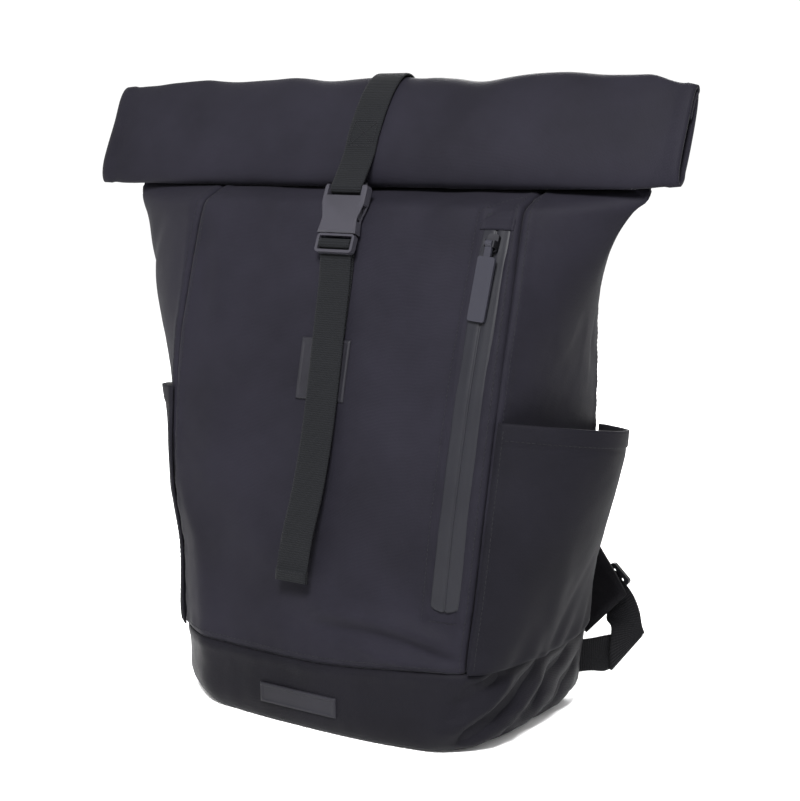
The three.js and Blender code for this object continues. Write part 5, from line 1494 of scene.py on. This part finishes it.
def finish_node(name, material):
    """Gives a solid its material and softened edges."""
    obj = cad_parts[name]
    obj.data.materials.clear()
    obj.data.materials.append(material)
    modifier = obj.modifiers.new("edge", "BEVEL")
    modifier.width = EDGE_WIDTH * MM
    modifier.segments = EDGE_STEPS
    modifier.limit_method = "ANGLE"
    modifier.angle_limit = math.radians(EDGE_ANGLE)
    modifier.harden_normals = False


for node_name, material in (("buckle_socket", PLASTIC), ("buckle_plug", PLASTIC), ("zip_slider", METAL),
                            ("zip_puller", PULLER_RUBBER), ("ladder_lock_right", DARK_PLASTIC),
                            ("ladder_lock_left", DARK_PLASTIC)):
    finish_node(node_name, material)


# Floor, light and camera
FLOOR_REACH = 6000.0
FLOOR_DROP = 0.4
# Name, place, what it points at, power and width of each light
LIGHTS = (
    ("key", (480, -1120, 1300), (40, -60, 240), 82.0, 460),
    ("left_fill", (-1500, -900, 700), (0, 0, 200), 4.0, 1200),
    ("rear_fill", (-500, 1500, 1100), (0, 0, 260), 48.0, 900),
)


def floor_and_light():
    floor_mesh = bpy.data.meshes.new("floor")
    signs = ((-1, -1), (1, -1), (1, 1), (-1, 1))
    corners = [(x * FLOOR_REACH * MM, y * FLOOR_REACH * MM, 0) for x, y in signs]
    floor_mesh.from_pydata(corners, [], [(0, 1, 2, 3)])
    floor = bpy.data.objects.new("floor", floor_mesh)
    bpy.context.scene.collection.objects.link(floor)
    floor.location.z = -FLOOR_DROP * MM
    material, tree, shader = new_material("floor_paper")
    fill(tree, shader, {"Base Color": (0.97, 0.97, 0.97, 1), "Roughness": 0.9, "Specular IOR Level": 0.1}, {})
    floor_mesh.materials.append(material)
    world = bpy.data.worlds.new("studio")
    world.use_nodes = True
    background = world.node_tree.nodes["Background"]
    background.inputs["Color"].default_value = (1, 1, 1, 1)
    background.inputs["Strength"].default_value = 1.05
    bpy.context.scene.world = world
    for name, at, target, power, width in LIGHTS:
        data = bpy.data.lights.new(name, "AREA")
        data.energy = power
        data.size = width * MM
        lamp = bpy.data.objects.new(name, data)
        lamp.location = Vector(at) * MM
        way = Vector(target) - Vector(at)
        lamp.rotation_euler = way.to_track_quat("-Z", "Y").to_euler()
        bpy.context.scene.collection.objects.link(lamp)


def place_camera():
    turn, pitch, roll = (math.radians(v) for v in (CAMERA_TURN, CAMERA_PITCH, CAMERA_ROLL))
    forward = Vector((-math.sin(turn) * math.cos(pitch), math.cos(turn) * math.cos(pitch), -math.sin(pitch)))
    level = Vector((math.cos(turn), math.sin(turn), 0))
    upright = level.cross(forward)
    right = level * math.cos(roll) + upright * math.sin(roll)
    up = upright * math.cos(roll) - level * math.sin(roll)
    data = bpy.data.cameras.new("camera")
    data.sensor_width = SENSOR
    data.lens = FOCAL_PIXELS * SENSOR / IMAGE_HEIGHT
    data.clip_start = 0.05
    data.clip_end = 50
    camera = bpy.data.objects.new("camera", data)
    matrix = Matrix((right, up, -forward)).transposed().to_4x4()
    matrix.translation = Vector(CAMERA_AT) * MM
    camera.matrix_world = matrix
    bpy.context.scene.collection.objects.link(camera)
    bpy.context.scene.camera = camera
    bpy.context.scene.view_settings.view_transform = "Standard"


floor_and_light()
place_camera()
